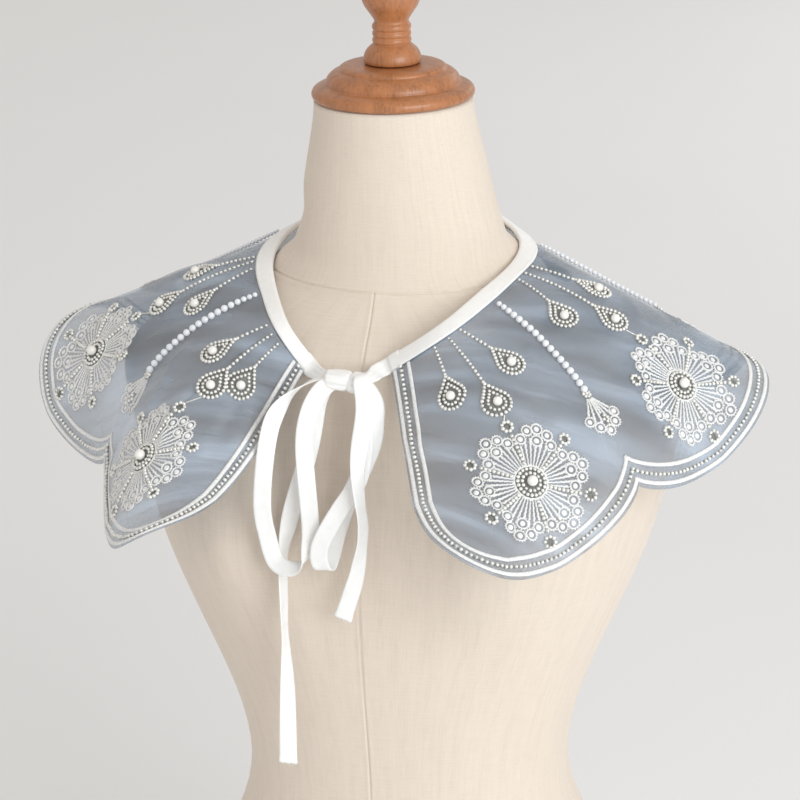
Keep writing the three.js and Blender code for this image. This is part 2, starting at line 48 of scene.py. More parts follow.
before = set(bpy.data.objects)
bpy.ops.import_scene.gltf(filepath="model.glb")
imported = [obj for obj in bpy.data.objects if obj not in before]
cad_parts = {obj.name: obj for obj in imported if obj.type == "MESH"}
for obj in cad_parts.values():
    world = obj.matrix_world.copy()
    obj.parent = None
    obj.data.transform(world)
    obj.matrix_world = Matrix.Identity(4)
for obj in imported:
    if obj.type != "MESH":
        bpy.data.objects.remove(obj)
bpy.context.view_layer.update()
MM = 0.001
RNG_SEED = 11


def metres(points):
    return np.asarray(points, float) * MM


def turns(count):
    """Evenly spaced directions of a full turn, in radians."""
    return np.linspace(0, 2 * math.pi, count, endpoint=False)


def unit(vectors):
    vectors = np.asarray(vectors, float)
    return vectors / np.maximum(np.linalg.norm(vectors, axis=-1, keepdims=True), 1e-9)


def lerp(a, b, t):
    return a + (b - a) * t


CAP_DEPTH = 19  # from the cap's datum down to its underside
CAP_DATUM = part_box("neck_cap")[0][2] / MM + CAP_DEPTH

# ---------- Sizes of the cut ----------
# A place on the cloth is a station, counted in lobes from the wearer's left front edge, and a run
# out from the neck edge.
LOBES = 6
LOBE_TIP = 185  # neck edge to hem at a lobe's tip
LOBE_NOTCH = 160  # and at the notch between two lobes
LOBE_ROUND, LOBE_SHOULDER = 1.45, 0.76  # powers that round the hem from tip to notch
NOTCH_MITRE = 1.48  # how much faster the rim's lines draw in at a notch
NECK_WIDTH, WIDENING = 82, 0.48  # a lobe's width at the neck edge, and its growth with the run
FRONT_EDGE_TOP, FRONT_EDGE_LOW = 0.93, 1.2  # front edge, in half lobes from the lobe's middle
FRONT_CORNER = 126  # neck edge to where the front edge turns into the hem
FRONT_END = 0.5 - 0.5 * FRONT_EDGE_TOP
RIM_START = 13  # neck edge to where the rim's lines, and the strings of the drops, start
STRING_AT = 12.5
FLOWER_AT = 132  # neck edge to the middles of flowers and fans
FAN_AT = 100
EASE = 60  # run over which the embroidery's shift towards the neck edge grows to its full value

# Drops of each lobe: the pearl's station from the lobe's middle and its run, and the string's
# station.
DROP_COLUMNS = ("letter", "turn", "at", "string")
LEFT_FRONT_DROPS = (("a", -0.19, 62, -0.13), ("b", 0.01, 79.5, -0.01), ("c", 0.22, 58.5, 0.1))
LEFT_SIDE_DROPS = (("a", -0.24, 51.5, -0.14), ("b", -0.02, 75.5, -0.03), ("c", 0.145, 54.5, 0.09))
BACK_DROPS = (("a", -0.205, 55, -0.112), ("b", 0, 77, 0), ("c", 0.205, 55, 0.112))
RIGHT_SIDE_DROPS = (("a", -0.14, 53.5, -0.07), ("b", 0.045, 75.5, 0), ("c", 0.27, 51, 0.11))
RIGHT_FRONT_DROPS = (("a", -0.15, 57, -0.1), ("b", 0.05, 73, 0.01), ("c", 0.185, 59, 0.12))
LEFT_DROPS, RIGHT_DROPS = (LEFT_FRONT_DROPS, LEFT_SIDE_DROPS), (RIGHT_SIDE_DROPS, RIGHT_FRONT_DROPS)
LOBE_DROPS = (*LEFT_DROPS, BACK_DROPS, BACK_DROPS, *RIGHT_DROPS)


# ---------- Curves through short tables ----------
def natural_spline(rows):
    """Natural cubic spline through equally spaced rows, as a function of the place along them."""
    rows = np.asarray(rows, float)
    count = len(rows)
    system = np.eye(count)
    load = np.zeros_like(rows)
    for i in range(1, count - 1):
        system[i, i - 1 : i + 2] = (1, 4, 1)
        load[i] = 6 * (rows[i + 1] - 2 * rows[i] + rows[i - 1])
    bend = np.linalg.solve(system, load)

    def at(place):
        place = np.asarray(place, float)
        i = np.clip(np.floor(place).astype(int), 0, count - 2)
        b = (place - i)[..., None]
        a = 1 - b
        arch = ((a**3 - a) * bend[i] + (b**3 - b) * bend[i + 1]) / 6
        return a * rows[i] + b * rows[i + 1] + arch

    return at


# ---------- Collar surface ----------
# One row every half lobe, from the wearer's left front edge round the back to the right front edge:
# neck edge x, y and z from the cap's datum, heading (0 forwards, 90 to the wearer's left), slope
# there, change of slope in 100 mm, and how much nearer the embroidery lies to the neck edge.
SPOKES = [
    (14, -77.5, -163, 32, 34, -9, 11),
    (48, -74.5, -140, 47.5, 19, 28, 11),
    (63.5, -41, -128.5, 65, 17.5, 27, 3),
    (72.5, -4, -122, 78, 7, 31.5, 0),
    (69.5, 33, -112.5, 101, 29, 0, 0),
    (38, 55, -99, 130, 55, 6, 0),
    (-1, 66, -94, 180, 60, 8, 0),
    (-41, 53, -99, 230, 54, 6, 0),
    (-75, 29.5, -112, 261, 28.5, -4, 0),
    (-79.5, -7.5, -124, 281, 12, 25, 0),
    (-65.5, -43, -134, 295, 12.5, 38.5, 3),
    (-48, -73, -146, 318, 14.5, 29.5, 11),
    (-31.5, -77, -166, 336, 41, -20, 11),
]
spokes = natural_spline(SPOKES)
# Places and weights that sum the fall along a run.
SUM_PLACES, SUM_WEIGHTS = np.polynomial.legendre.leggauss(4)

# Soft ridges (+) and troughs (-) pressed into the organza.
CREASE_COLUMNS = ("station", "run", "turn", "length", "width", "height")
CREASES = [
    (0.12, 92, 20, 70, 6, 1.9),
    (0.3, 150, -35, 42, 4.5, -1.4),
    (0.44, 66, 38, 46, 5, 1.5),
    (0.74, 96, 12, 60, 6.5, -2.0),
    (0.86, 60, -30, 40, 5, 1.4),
    (0.92, 128, -18, 52, 5, 1.9),
    (1.12, 112, 34, 56, 6, -1.7),
    (1.3, 88, 24, 58, 6.5, 2.0),
    (1.78, 112, -30, 46, 5, -1.9),
    (1.64, 84, -52, 40, 4.5, 1.6),
    (2.1, 124, 14, 58, 7, 1.9),
    (2.42, 78, -8, 52, 6, -1.5),
    (2.86, 118, 26, 50, 5.5, 1.6),
    (3.22, 90, -14, 60, 7, -1.7),
    (3.7, 120, 30, 44, 5.5, 1.6),
    (4.1, 86, -22, 62, 7, 1.9),
    (4.34, 138, 36, 40, 4.5, -1.5),
    (4.78, 96, -12, 58, 6, 1.9),
    (4.92, 122, 44, 46, 4.5, 1.7),
    (5.06, 122, 8, 62, 6, -2.3),
    (5.2, 84, 28, 56, 5, 2.2),
    (5.3, 104, -24, 44, 5, -1.6),
    (5.52, 96, 30, 40, 4.5, 1.4),
    (5.72, 108, -38, 64, 6, 1.9),
    (5.8, 70, 18, 48, 6, -1.5),
]
# The cloth drawn up round a flower's stitches, and the hem's slow wave.
PUCKER = {"height": 0.35, "radius": 41, "width": 9, "folds": 9, "shift": 1.7}
HEM_WAVE = {"height": 1.1, "start": 110, "over": 70, "pitch": 7.3, "shift": 0.8}


def station_width(run):
    return NECK_WIDTH + WIDENING * run


def flat_cloth(station, run):
    """The cloth's mid surface without its creases."""
    x, y, z, heading, slope, bend, _ = np.moveaxis(spokes(2 * station), -1, 0)
    out, down = np.zeros_like(x), np.zeros_like(x)
    for place, weight in zip(0.5 + 0.5 * SUM_PLACES, 0.5 * SUM_WEIGHTS):
        fall = np.radians(slope + bend * run * place / 100)
        out = out + weight * run * np.cos(fall)
        down = down + weight * run * np.sin(fall)
    turn = np.radians(heading)
    return np.stack([x + out * np.sin(turn), y - out * np.cos(turn), CAP_DATUM + z - down], -1)


def surface_frame(surface, station, run):
    """Steps of a surface along the neck edge and outwards, and its unit normal."""
    ds, dr = 0.004, 0.4
    along = (surface(station + ds, run) - surface(station - ds, run)) / (2 * ds)
    outward = (surface(station, run + dr) - surface(station, run - dr)) / (2 * dr)
    return along, outward, unit(np.cross(outward, along))


def relief(station, run):
    """Height of the creases, the puckers round the flowers and the hem's slow wave."""
    height = np.zeros(np.broadcast(station, run).shape)
    wide = station_width(run)
    for row in CREASES:
        crease = dict(zip(CREASE_COLUMNS, row))
        across, outward = (station - crease["station"]) * wide, run - crease["run"]
        turn = math.radians(crease["turn"])
        along = outward * math.cos(turn) + across * math.sin(turn)
        aside = across * math.cos(turn) - outward * math.sin(turn)
        fade = np.exp(-((2 * along / crease["length"]) ** 4))
        height = height + crease["height"] * fade * np.exp(-((aside / crease["width"]) ** 2))
    lobe = np.floor(np.clip(station, 0, LOBES - 0.01)) + 0.5
    across, outward = (station - lobe) * wide, run - spot(lobe, FLOWER_AT)[1]
    ring = np.exp(-(((np.hypot(across, outward) - PUCKER["radius"]) / PUCKER["width"]) ** 2))
    folds = np.sin(PUCKER["folds"] * np.arctan2(across, outward) + PUCKER["shift"] * lobe)
    height = height + PUCKER["height"] * ring * folds
    grow = np.clip((run - HEM_WAVE["start"]) / HEM_WAVE["over"], 0, 1) ** 2
    wave = np.sin(HEM_WAVE["pitch"] * station + HEM_WAVE["shift"])
    return height + HEM_WAVE["height"] * grow * wave


def cloth(station, run):
    """The creased mid surface."""
    station = np.asarray(station, float)
    run = np.asarray(run, float)
    normal = surface_frame(flat_cloth, station, run)[2]
    return flat_cloth(station, run) + normal * relief(station, run)[..., None]


def lifted(station, run, height):
    """Point of the creased cloth, moved out of it by a height."""
    normal = surface_frame(cloth, station, run)[2]
    return cloth(station, run) + normal * np.asarray(height, float)[..., None]


def spot(station, cut):
    """Station and run of a place named by its distance from the neck edge in the flat cut."""
    station = np.asarray(station, float)
    cut = np.asarray(cut, float)
    short = spokes(2 * station)[..., 6]
    return station, cut - short * np.minimum(1, cut / EASE)


class Motif:
    """Flat drawing board on the cloth: across and outward distances from a middle."""

    def __init__(self, station, run, heading=(0.0, 1.0)):
        self.station = float(station)
        self.run = float(run)
        along, outward, _ = surface_frame(flat_cloth, np.array(self.station), np.array(self.run))
        out = unit(outward)
        side = unit(along - out * (along @ out))
        self.metric = np.array([[u @ v for v in (along, outward)] for u in (along, outward)])
        self.basis = np.array([[u @ v for v in (along, outward)] for u in (side, out)])
        self.turn = math.atan2(heading[0], heading[1])

    def places(self, across, outward):
        across, outward = np.asarray(across, float), np.asarray(outward, float)
        c, s = math.cos(self.turn), math.sin(self.turn)
        a, o = across * c + outward * s, outward * c - across * s
        load = a[..., None] * self.basis[0] + o[..., None] * self.basis[1]
        step = load @ np.linalg.inv(self.metric)
        return self.station + step[..., 0], self.run + step[..., 1]

    def points(self, across, outward, height):
        station, run = self.places(across, outward)
        return lifted(station, run, np.broadcast_to(height, station.shape))

    def normals(self, across, outward):
        return surface_frame(flat_cloth, *self.places(across, outward))[2]


# ---------- Outline of the cut ----------
def hem_cut(w, inset):
    notch = LOBE_NOTCH - NOTCH_MITRE * inset
    tip = LOBE_TIP - inset
    full = np.maximum(0, 1 - np.abs(w) ** LOBE_ROUND) ** LOBE_SHOULDER
    return notch + (tip - notch) * full


def front_edge(inset, start, steps):
    t = np.linspace(start / FRONT_CORNER, 1, steps)
    cut = t * FRONT_CORNER
    w = FRONT_EDGE_TOP + (FRONT_EDGE_LOW - FRONT_EDGE_TOP) * t
    return np.stack([0.5 - 0.5 * w + inset / station_width(cut), cut], -1)


def front_corner(inset, t):
    reach = FRONT_EDGE_LOW - 2 * inset / station_width(FRONT_CORNER)
    share = 1 - t * t
    full = np.maximum(0, 1 - share**4) ** 0.3
    cut = FRONT_CORNER + (LOBE_TIP - inset - FRONT_CORNER) * full
    return np.stack([0.5 - 0.5 * reach * share, cut], -1)


def hem_between_tips(inset, steps):
    """Hem from the tip of the first lobe to the tip of the last."""
    fall = 1 - (1 - np.linspace(0, 1, steps)) ** 1.5
    before = np.stack([0.5 - 0.5 * fall, hem_cut(fall, inset)], -1)[::-1][1:]
    after = np.stack([0.5 + 0.5 * fall, hem_cut(fall, inset)], -1)[1:]
    halves = [half + (lobe, 0) for lobe in range(LOBES) for half in (before, after)]
    return np.concatenate(halves[1:-1])


def mirrored(places):
    return (places * (-1, 1) + (LOBES, 0))[::-1]


def rim_path(inset):
    """Stations and runs of the whole rim, from one front edge to the other."""
    corner = front_corner(inset, np.linspace(0, 1, 60)[1:] ** 1.4)
    left = np.concatenate([front_edge(inset, RIM_START, 70), corner])
    return spot(*np.concatenate([left, hem_between_tips(inset, 40), mirrored(left)]).T)


# ---------- Mesh building ----------
def placed(name, data):
    """A new object of the scene."""
    piece = bpy.data.objects.new(name, data)
    bpy.context.scene.collection.objects.link(piece)
    return piece


class Parts:
    """Gathers the points, faces and cut coordinates of one piece."""

    def __init__(self):
        self.points, self.faces, self.cuts, self.count = [], [], [], 0

    def add(self, points, faces, cut=None):
        points = np.asarray(points, float).reshape(-1, 3)
        self.points.append(points)
        self.faces += [np.asarray(group, int) + self.count for group in faces]
        self.cuts.append(np.zeros((len(points), 2)) if cut is None else cut.reshape(-1, 2))
        self.count += len(points)

    def build(self, name, kind, slot, *replaces):
        """Makes the piece, with the material of its kind, and hands it to the frame."""
        points = metres(np.concatenate(self.points))
        corners = np.concatenate([group.ravel() for group in self.faces])
        sizes = np.concatenate([np.full(len(group), group.shape[1]) for group in self.faces])
        mesh = bpy.data.meshes.new(name)
        mesh.vertices.add(len(points))
        mesh.vertices.foreach_set("co", points.astype(np.float32).ravel())
        mesh.loops.add(len(corners))
        mesh.loops.foreach_set("vertex_index", corners.astype(np.int32))
        mesh.polygons.add(len(sizes))
        starts = np.concatenate([[0], np.cumsum(sizes)[:-1]])
        mesh.polygons.foreach_set("loop_start", starts.astype(np.int32))
        mesh.polygons.foreach_set("use_smooth", np.ones(len(sizes), bool))
        mesh.update(calc_edges=True)
        flat = metres(np.concatenate(self.cuts))[corners]
        mesh.uv_layers.new(name="cut").data.foreach_set("uv", flat.astype(np.float32).ravel())
        mesh.materials.append(finish_of(kind))
        if mesh.validate():
            raise RuntimeError(f"the mesh of {name} had faults")
        piece = placed(name, mesh)
        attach(piece, "root")
        if replaces:
            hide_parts(*replaces)
        return piece


def grid_faces(tall, wide, wrap=False):
    """Quads of a grid of points; wrap joins its last column to its first."""
    i = np.arange(tall - 1)[:, None]
    j = np.arange(wide if wrap else wide - 1)[None, :]
    k = (j + 1) % wide
    a, b = i * wide + j, i * wide + k
    return np.stack([a, b, b + wide, a + wide], -1).reshape(-1, 4)


def add_shell(parts, top, under, cut):
    """A closed thin wall between two grids of points with the same cut coordinates."""
    tall, wide = top.shape[:2]
    count = tall * wide
    quads = grid_faces(tall, wide)
    index = np.arange(count).reshape(tall, wide)
    edge = np.concatenate([index[0], index[1:, -1], index[-1, -2::-1], index[-2:0:-1, 0]])
    after = np.roll(edge, -1)
    sides = np.stack([edge, edge + count, after + count, after], -1)
    points = np.concatenate([top.reshape(-1, 3), under.reshape(-1, 3)])
    parts.add(points, [quads, quads[:, ::-1] + count, sides], np.concatenate([cut, cut]))


def add_tube(parts, rings, cut=None):
    """A closed tube through rings of points, capped at both ends."""
    tall, wide = rings.shape[:2]
    first = np.arange(wide)[None, ::-1]
    last = ((tall - 1) * wide + np.arange(wide))[None, :]
    parts.add(rings, [grid_faces(tall, wide, wrap=True), first, last], cut)


def add_hoop(parts, rings):
    """A tube whose last ring joins its first."""
    tall, wide = rings.shape[:2]
    parts.add(rings, [grid_faces(tall + 1, wide, wrap=True) % (tall * wide)])


def ball(subdivisions):
    """Points and faces of a unit ball."""
    body = bmesh.new()
    bmesh.ops.create_icosphere(body, subdivisions=subdivisions, radius=1)
    points = np.array([corner.co for corner in body.verts])
    faces = np.array([[corner.index for corner in face.verts] for face in body.faces])
    body.free()
    return points, faces


DOT_BALL, BEAD_BALL, PEARL_BALL = ball(1), ball(2), ball(3)


def add_balls(parts, centres, radii, shape=BEAD_BALL, axes=None, squash=1.0):
    """Copies of a ball at the centres, flattened along their axes."""
    centres = np.asarray(centres, float).reshape(-1, 3)
    radii = np.broadcast_to(radii, len(centres)).astype(float)
    points, faces = shape
    copies = np.repeat(points[None], len(centres), 0)
    if axes is not None:
        axes = unit(np.broadcast_to(axes, centres.shape))
        depth = np.einsum("nij,nj->ni", copies, axes)
        copies = copies - (1 - squash) * depth[..., None] * axes[:, None]
    copies = centres[:, None] + copies * radii[:, None, None]
    shift = (np.arange(len(centres)) * len(points))[:, None, None]
    parts.add(copies, [(faces[None] + shift).reshape(-1, 3)])


def arc_length(points):
    """Distance of every point of a path from its start."""
    return np.concatenate([[0], np.cumsum(np.linalg.norm(np.diff(points, axis=0), axis=1))])


def rows_at(places, length, rows):
    """Rows of numbers interpolated at places along a length."""
    return np.stack([np.interp(places, length, column) for column in np.transpose(rows)], -1)


def resampled(rows, spacing):
    """Rows at even spacings along the path in their first three columns."""
    length = arc_length(rows[:, :3])
    at = np.linspace(0, length[-1], max(2, int(round(length[-1] / spacing)) + 1))
    return rows_at(at, length, rows), at


def tangents(points):
    return unit(np.gradient(points, axis=0))


def smooth_noise(rng, length, waves):
    """Slow random wobble between -1 and 1 over a number of samples."""
    t = np.linspace(0, 1, length)
    total = np.zeros(length)
    for k in range(1, waves + 1):
        total += rng.normal() * np.sin(2 * math.pi * k * t + rng.uniform(0, 2 * math.pi)) / k**0.5
    return total / max(1e-9, np.abs(total).max())


# ---------- Materials ----------
def material_nodes(name, **sockets):
    """A material with a Principled shader; sockets are its constant values."""
    material = bpy.data.materials.new(name)
    material.use_nodes = True
    tree = material.node_tree
    shader = tree.nodes["Principled BSDF"]
    for socket, value in sockets.items():
        shader.inputs[socket.replace("_", " ")].default_value = value
    return material, tree, shader


def add_node(tree, kind, **values):
    node = tree.nodes.new(kind)
    for key, value in values.items():
        if key in node.inputs:
            node.inputs[key].default_value = value
        else:
            setattr(node, key, value)
    return node


def texture(tree, kind, source, stretch=(1, 1, 1), **values):
    """A texture over the cut (UV) or the object, with its coordinates stretched."""
    place = add_node(tree, "ShaderNodeTexCoord")
    mapping = add_node(tree, "ShaderNodeMapping", Scale=stretch)
    node = add_node(tree, kind, **values)
    tree.links.new(place.outputs[source], mapping.inputs["Vector"])
    tree.links.new(mapping.outputs["Vector"], node.inputs["Vector"])
    return node.outputs["Fac"]


def noise(tree, source, stretch, **values):
    return texture(tree, "ShaderNodeTexNoise", source, stretch, Scale=1.0, **values)


def total_of(tree, outputs, share=1.0):
    """Sum of number outputs, times a share."""
    total = outputs[0]
    for output in outputs[1:]:
        both = add_node(tree, "ShaderNodeMath", operation="ADD")
        tree.links.new(total, both.inputs[0])
        tree.links.new(output, both.inputs[1])
        total = both.outputs[0]
    scaled = add_node(tree, "ShaderNodeMath", operation="MULTIPLY")
    scaled.inputs[1].default_value = share
    tree.links.new(total, scaled.inputs[0])
    return scaled.outputs[0]


def add_shades(tree, shader, factor, colour, shades):
    """One colour, darker and lighter by a share at each place along a factor."""
    ramp = add_node(tree, "ShaderNodeValToRGB")
    elements = ramp.color_ramp.elements
    while len(elements) < len(shades):
        elements.new(0.5)
    for element, (place, share) in zip(elements, shades):
        element.position = place
        element.color = (*(channel * share for channel in colour), 1)
    tree.links.new(factor, ramp.inputs["Fac"])
    tree.links.new(ramp.outputs["Color"], shader.inputs["Base Color"])


def add_bump(tree, shader, heights, strength, distance):
    bump = add_node(tree, "ShaderNodeBump", Strength=strength, Distance=distance * MM)
    tree.links.new(total_of(tree, heights), bump.inputs["Height"])
    tree.links.new(bump.outputs["Normal"], shader.inputs["Normal"])


def organza_material(colour):
    cover = bpy.context.scene.collar_colours.organza_cover
    sockets = {"Roughness": 0.34, "Alpha": cover, "Sheen_Weight": 0.3, "Sheen_Roughness": 0.35}
    material, tree, shader = material_nodes("sheer_organza", **sockets)
    # One noise gives both the cloudy tone of the two layers and most of their soft relief, so the
    # tone is darker in the relief's hollows and lighter on its rises: random tone mixed with
    # painted shade and highlight of the folds.
    cloud_tone_and_highlight = noise(tree, "UV", (34, 13, 1), Detail=2.0, Roughness=0.45)
    wrinkle = noise(tree, "UV", (62, 26, 1), Detail=1.0, Distortion=0.5)
    add_shades(tree, shader, cloud_tone_and_highlight, colour, [(0.36, 0.66), (0.53, 1), (0.68, 1.45)])
    add_bump(tree, shader, [cloud_tone_and_highlight, wrinkle], 0.8, 5.0)
    return material


def ribbon_material(colour):
    sockets = {"Roughness": 0.62, "Sheen_Weight": 0.35, "Sheen_Roughness": 0.5}
    material, tree, shader = material_nodes("matt_ribbon", **sockets)
    slub = texture(tree, "ShaderNodeTexNoise", "UV", Scale=160.0, Detail=3.0)
    add_shades(tree, shader, slub, colour, [(0.25, 0.955), (0.7, 1)])
    weave = {"Scale": 520.0, "Distortion": 0.4}
    threads = [
        texture(tree, "ShaderNodeTexWave", "UV", bands_direction=direction, **weave)
        for direction in "XY"
    ]
    add_bump(tree, shader, threads, 0.35, 0.12)
    return material


def linen_material(colour):
    sockets = {"Roughness": 0.85, "Sheen_Weight": 0.2, "Sheen_Roughness": 0.6}
    material, tree, shader = material_nodes("form_linen", **sockets)
    warp, weft, slub = (
        noise(tree, "UV", stretch, Detail=2.0, Roughness=0.5)
        for stretch in ((1250, 70, 1), (70, 1250, 1), (240, 16, 1))
    )
    mean = total_of(tree, [warp, weft, slub], 1 / 3)
    add_shades(tree, shader, mean, colour, [(0.38, 0.94), (0.5, 1), (0.62, 1.035)])
    add_bump(tree, shader, [warp, weft], 0.3, 0.25)
    return material


def wood_material(colour):
    sockets = {"Roughness": 0.42, "Coat_Weight": 0.35, "Coat_Roughness": 0.18}
    material, tree, shader = material_nodes("turned_wood", **sockets)
    streaks = noise(tree, "Object", (130, 130, 14), Detail=5.0, Roughness=0.6, Distortion=0.6)
    fine = noise(tree, "Object", (620, 620, 40), Detail=4.0, Roughness=0.65)
    mean = total_of(tree, [streaks, fine], 1 / 2)
    add_shades(tree, shader, mean, colour, [(0.36, 0.66), (0.5, 1), (0.66, 1.2)])
    add_bump(tree, shader, [fine], 0.12, 0.3)
    return material


PEARLY = {"Roughness": 0.24, "Coat_Weight": 0.7, "Coat_Roughness": 0.08, "Sheen_Weight": 0.2}
SILVERY = {"Roughness": 0.26, "Metallic": 0.4, "Coat_Weight": 0.5, "Coat_Roughness": 0.06}
SATIN = {"Roughness": 0.55, "Sheen_Weight": 0.4, "Sheen_Roughness": 0.35}
DULL = {"Roughness": 0.6, "Sheen_Weight": 0.2}
# Materials with one noise: name, scale and detail of the noise, shades along it, strength of its
# relief, and the shader's sockets.
GRAINED = {
    "thread": ("embroidery_thread", 900, 2, [(0.34, 0.82), (0.6, 1)], 0.5, SATIN),
    # Grey couching thread, made dark enough that it also paints the shade between and under the
    # beads.
    "couching": ("grey_couching", 1400, 2, [(0.35, 0.6), (0.65, 1)], 0.6, DULL),
    "silver": ("silver_lined_beads", 520, 1, [(0.3, 0.72), (0.48, 1), (0.7, 1.06)], 0, SILVERY),
    "pearl": ("ivory_pearls", 260, 1, [(0.35, 0.93), (0.65, 1)], 0, PEARLY),
    "line_pearl": ("white_pearls", 260, 1, [(0.35, 0.93), (0.65, 1)], 0, PEARLY),
    "floor": ("painted_floor", 2, 3, [(0.3, 0.985), (0.7, 1)], 0, {"Roughness": 0.95}),
}
WOVEN_AND_WOOD = {
    "organza": organza_material,
    "ribbon": ribbon_material,
    "linen": linen_material,
    "wood": wood_material,
}
_made = {}


def grained_material(colour, name, scale, detail, shades, relief_strength, sockets):
    material, tree, shader = material_nodes(name, **sockets)
    grain = texture(tree, "ShaderNodeTexNoise", "Object", Scale=scale, Detail=detail)
    add_shades(tree, shader, grain, colour, shades)
    if relief_strength:
        add_bump(tree, shader, [grain], relief_strength, 0.25)
    return material


def finish_of(kind):
    """The material of a kind of piece, made once from the panel's colours."""
    if kind not in _made:
        colour = tuple(getattr(bpy.context.scene.collar_colours, kind))
        if kind in GRAINED:
            _made[kind] = grained_material(colour, *GRAINED[kind])
        else:
            _made[kind] = WOVEN_AND_WOOD[kind](colour)
    return _made[kind]


# ---------- Organza panel ----------
PANEL_ROWS = 74
PANEL_START = 1.5  # run of the panel's first row, inside the neckband
HEM_CLOSE = 0.03  # last share of the way out, over which the two layers meet
TOP_LAYER = 0.5  # the front layer's height over the mid surface


def panel_grid():
    """Stations and cuts of the panel from neck edge to hem, and the share of that way."""
    corner_t = np.linspace(0, 1, 42)[1:] ** 1.5
    ends = np.concatenate([front_edge(0, 0, 2)[-1:], front_corner(0, corner_t)])
    tops = np.concatenate([[FRONT_END], lerp(FRONT_END, 0.5, corner_t)])
    middle = hem_between_tips(0, 30)
    ends = np.concatenate([ends, middle, mirrored(ends)])
    tops = np.concatenate([tops, middle[:, 0], LOBES - tops[::-1]])
    share = np.linspace(0, 1, PANEL_ROWS)
    return lerp(tops[:, None], ends[:, :1], share), lerp(PANEL_START, ends[:, 1:], share), share


def make_panel(sizes):
    station, cut, share = panel_grid()
    place, run = spot(station, cut)
    closing = np.clip((1 - share) / HEM_CLOSE, 0, 1) ** 0.5
    gap = sizes.layer_gap * (0.35 + 0.65 * closing)
    drift = 0.2 * (1 + np.sin(5.1 * place + run / 19) * np.sin(run / 27 + 2.3 * place)) * closing
    top = lifted(place, run, 0.5 * gap)
    under = lifted(place, run, -0.5 * gap - drift)
    flat = np.stack([(place - LOBES / 2) * station_width(cut), cut], -1)
    parts = Parts()
    add_shell(parts, top[:, ::-1], under[:, ::-1], flat[:, ::-1])
    panel = parts.build("organza_panel", "organza", "organza", "collar_panel")


# ---------- Scalloped rim ----------
CORDS = {
    "outer": {"inset": 2.9, "width": 2.6, "height": 1.25},
    "inner": {"inset": 12.4, "width": 2.6, "height": 1.2},
}
BEAD_ROW = {"inset": 7.4, "pitch": 3.3, "height": 0.9, "wander": 0.09}
STITCH = 1.0  # length of cord taken by one satin stitch


def path_on_cloth(inset, height, spacing):
    """Points, surface normals and distances along the rim at an inset."""
    station, run = rim_path(inset)
    normal = surface_frame(flat_cloth, station, run)[2]
    rows, at = resampled(np.hstack([lifted(station, run, TOP_LAYER + height), normal]), spacing)
    return rows[:, :3], unit(rows[:, 3:]), at


def rings_round(line, normal, across, up):
    """Rings round a line, from their offsets along the cloth and out of it."""
    side = unit(np.cross(normal, tangents(line)))
    return line[:, None] + across[..., None] * side[:, None] + up[..., None] * normal[:, None]


def add_thread(parts, line, normal, half):
    """A plain thin thread along a line."""
    angle = turns(5)[::-1]
    add_tube(parts, rings_round(line, normal, half * np.cos(angle), 0.6 * half * np.sin(angle)))


def make_cord(side):
    """A cord of slanting satin stitches."""
    cord = CORDS[side]
    line, normal, at = path_on_cloth(cord["inset"], 0.1, STITCH / 3)
    angle = turns(7)
    ridge = 1 + 0.13 * np.cos(2 * math.pi * at / STITCH)[:, None]
    across = 0.5 * cord["width"] * np.cos(angle) * ridge
    up = 0.5 * cord["height"] * (np.sin(angle) * ridge + 0.7)
    slant = 0.35 * np.sin(angle)[:, None] * tangents(line)[:, None]
    parts = Parts()
    add_tube(parts, (rings_round(line, normal, across, up) + slant)[:, ::-1])
    parts.build(f"rim_cord_{side}_stitches", "thread", "embroidery_thread", f"rim_cord_{side}")


def make_bead_row(sizes, rng):
    line, normal, _ = path_on_cloth(BEAD_ROW["inset"], BEAD_ROW["height"], BEAD_ROW["pitch"])
    radii = 0.5 * sizes.bead * rng.uniform(0.93, 1.05, len(line))
    wander = rng.normal(0, BEAD_ROW["wander"], (len(line), 2))
    side = unit(np.cross(normal, tangents(line)))
    line = line + side * wander[:, :1] + normal * wander[:, 1:]
    beads, thread = Parts(), Parts()
    add_balls(beads, line, 1.06 * radii, axes=tangents(line), squash=0.92)
    beads.build("rim_beads", "silver", "seed_beads", "rim_bead_row")
    # Dark grey thread under the beads, which also paints the shade in the gaps between them.
    line, normal, _ = path_on_cloth(BEAD_ROW["inset"], 0.2, 1.6)
    add_thread(thread, line, normal, 0.7)
    thread.build("rim_bead_thread", "couching", "embroidery_thread")


# ---------- Embroidered flowers and fans ----------
# Sections of the stitches: share of the way outwards (or half widths aside) and height. A rib's
# "knot" is the pitch of its knots, and "start" and "end" are its widths.
LOOP_SECTION = [(0, 0.1), (0.25, 0.95), (0.62, 0.85), (1, 0.25), (0.5, -0.15)]
SATIN_SECTION = [(0, 0), (0.15, 0.8), (0.5, 1), (0.85, 0.8), (1, 0), (0.5, -0.2)]
RIB_SECTION = [(-1, 0), (-0.5, 0.95), (0.5, 0.95), (1, 0), (0, -0.25)]
DOT_FLAT, PAD_HEIGHT = 0.4, 0.28
LOOP = {"inner": 2.6, "outer": 3.45, "picot": 1.05, "picots": 14, "dot": 1.8}
SATIN_RING = {"inner": 9.3, "outer": 10.9, "height": 0.85, "stitches": 36}
RIB = {"knot": 1.5, "start": 1.0, "end": 2.15, "fan_end": 2.2, "height": 0.8}
ROSETTE = {"beads": 8, "radius": 3.1, "pad": 2.4}
FAN_KNOT = {"beads": 7, "radius": 2.3}
RAY_PITCH = 2.55  # spacing of the beads from the flower's middle out to a rosette
FLOWER_ROWS = ((5.4, 13), (8.1, 20))  # radius and bead count of the rings round the pearl
PETALS = 6
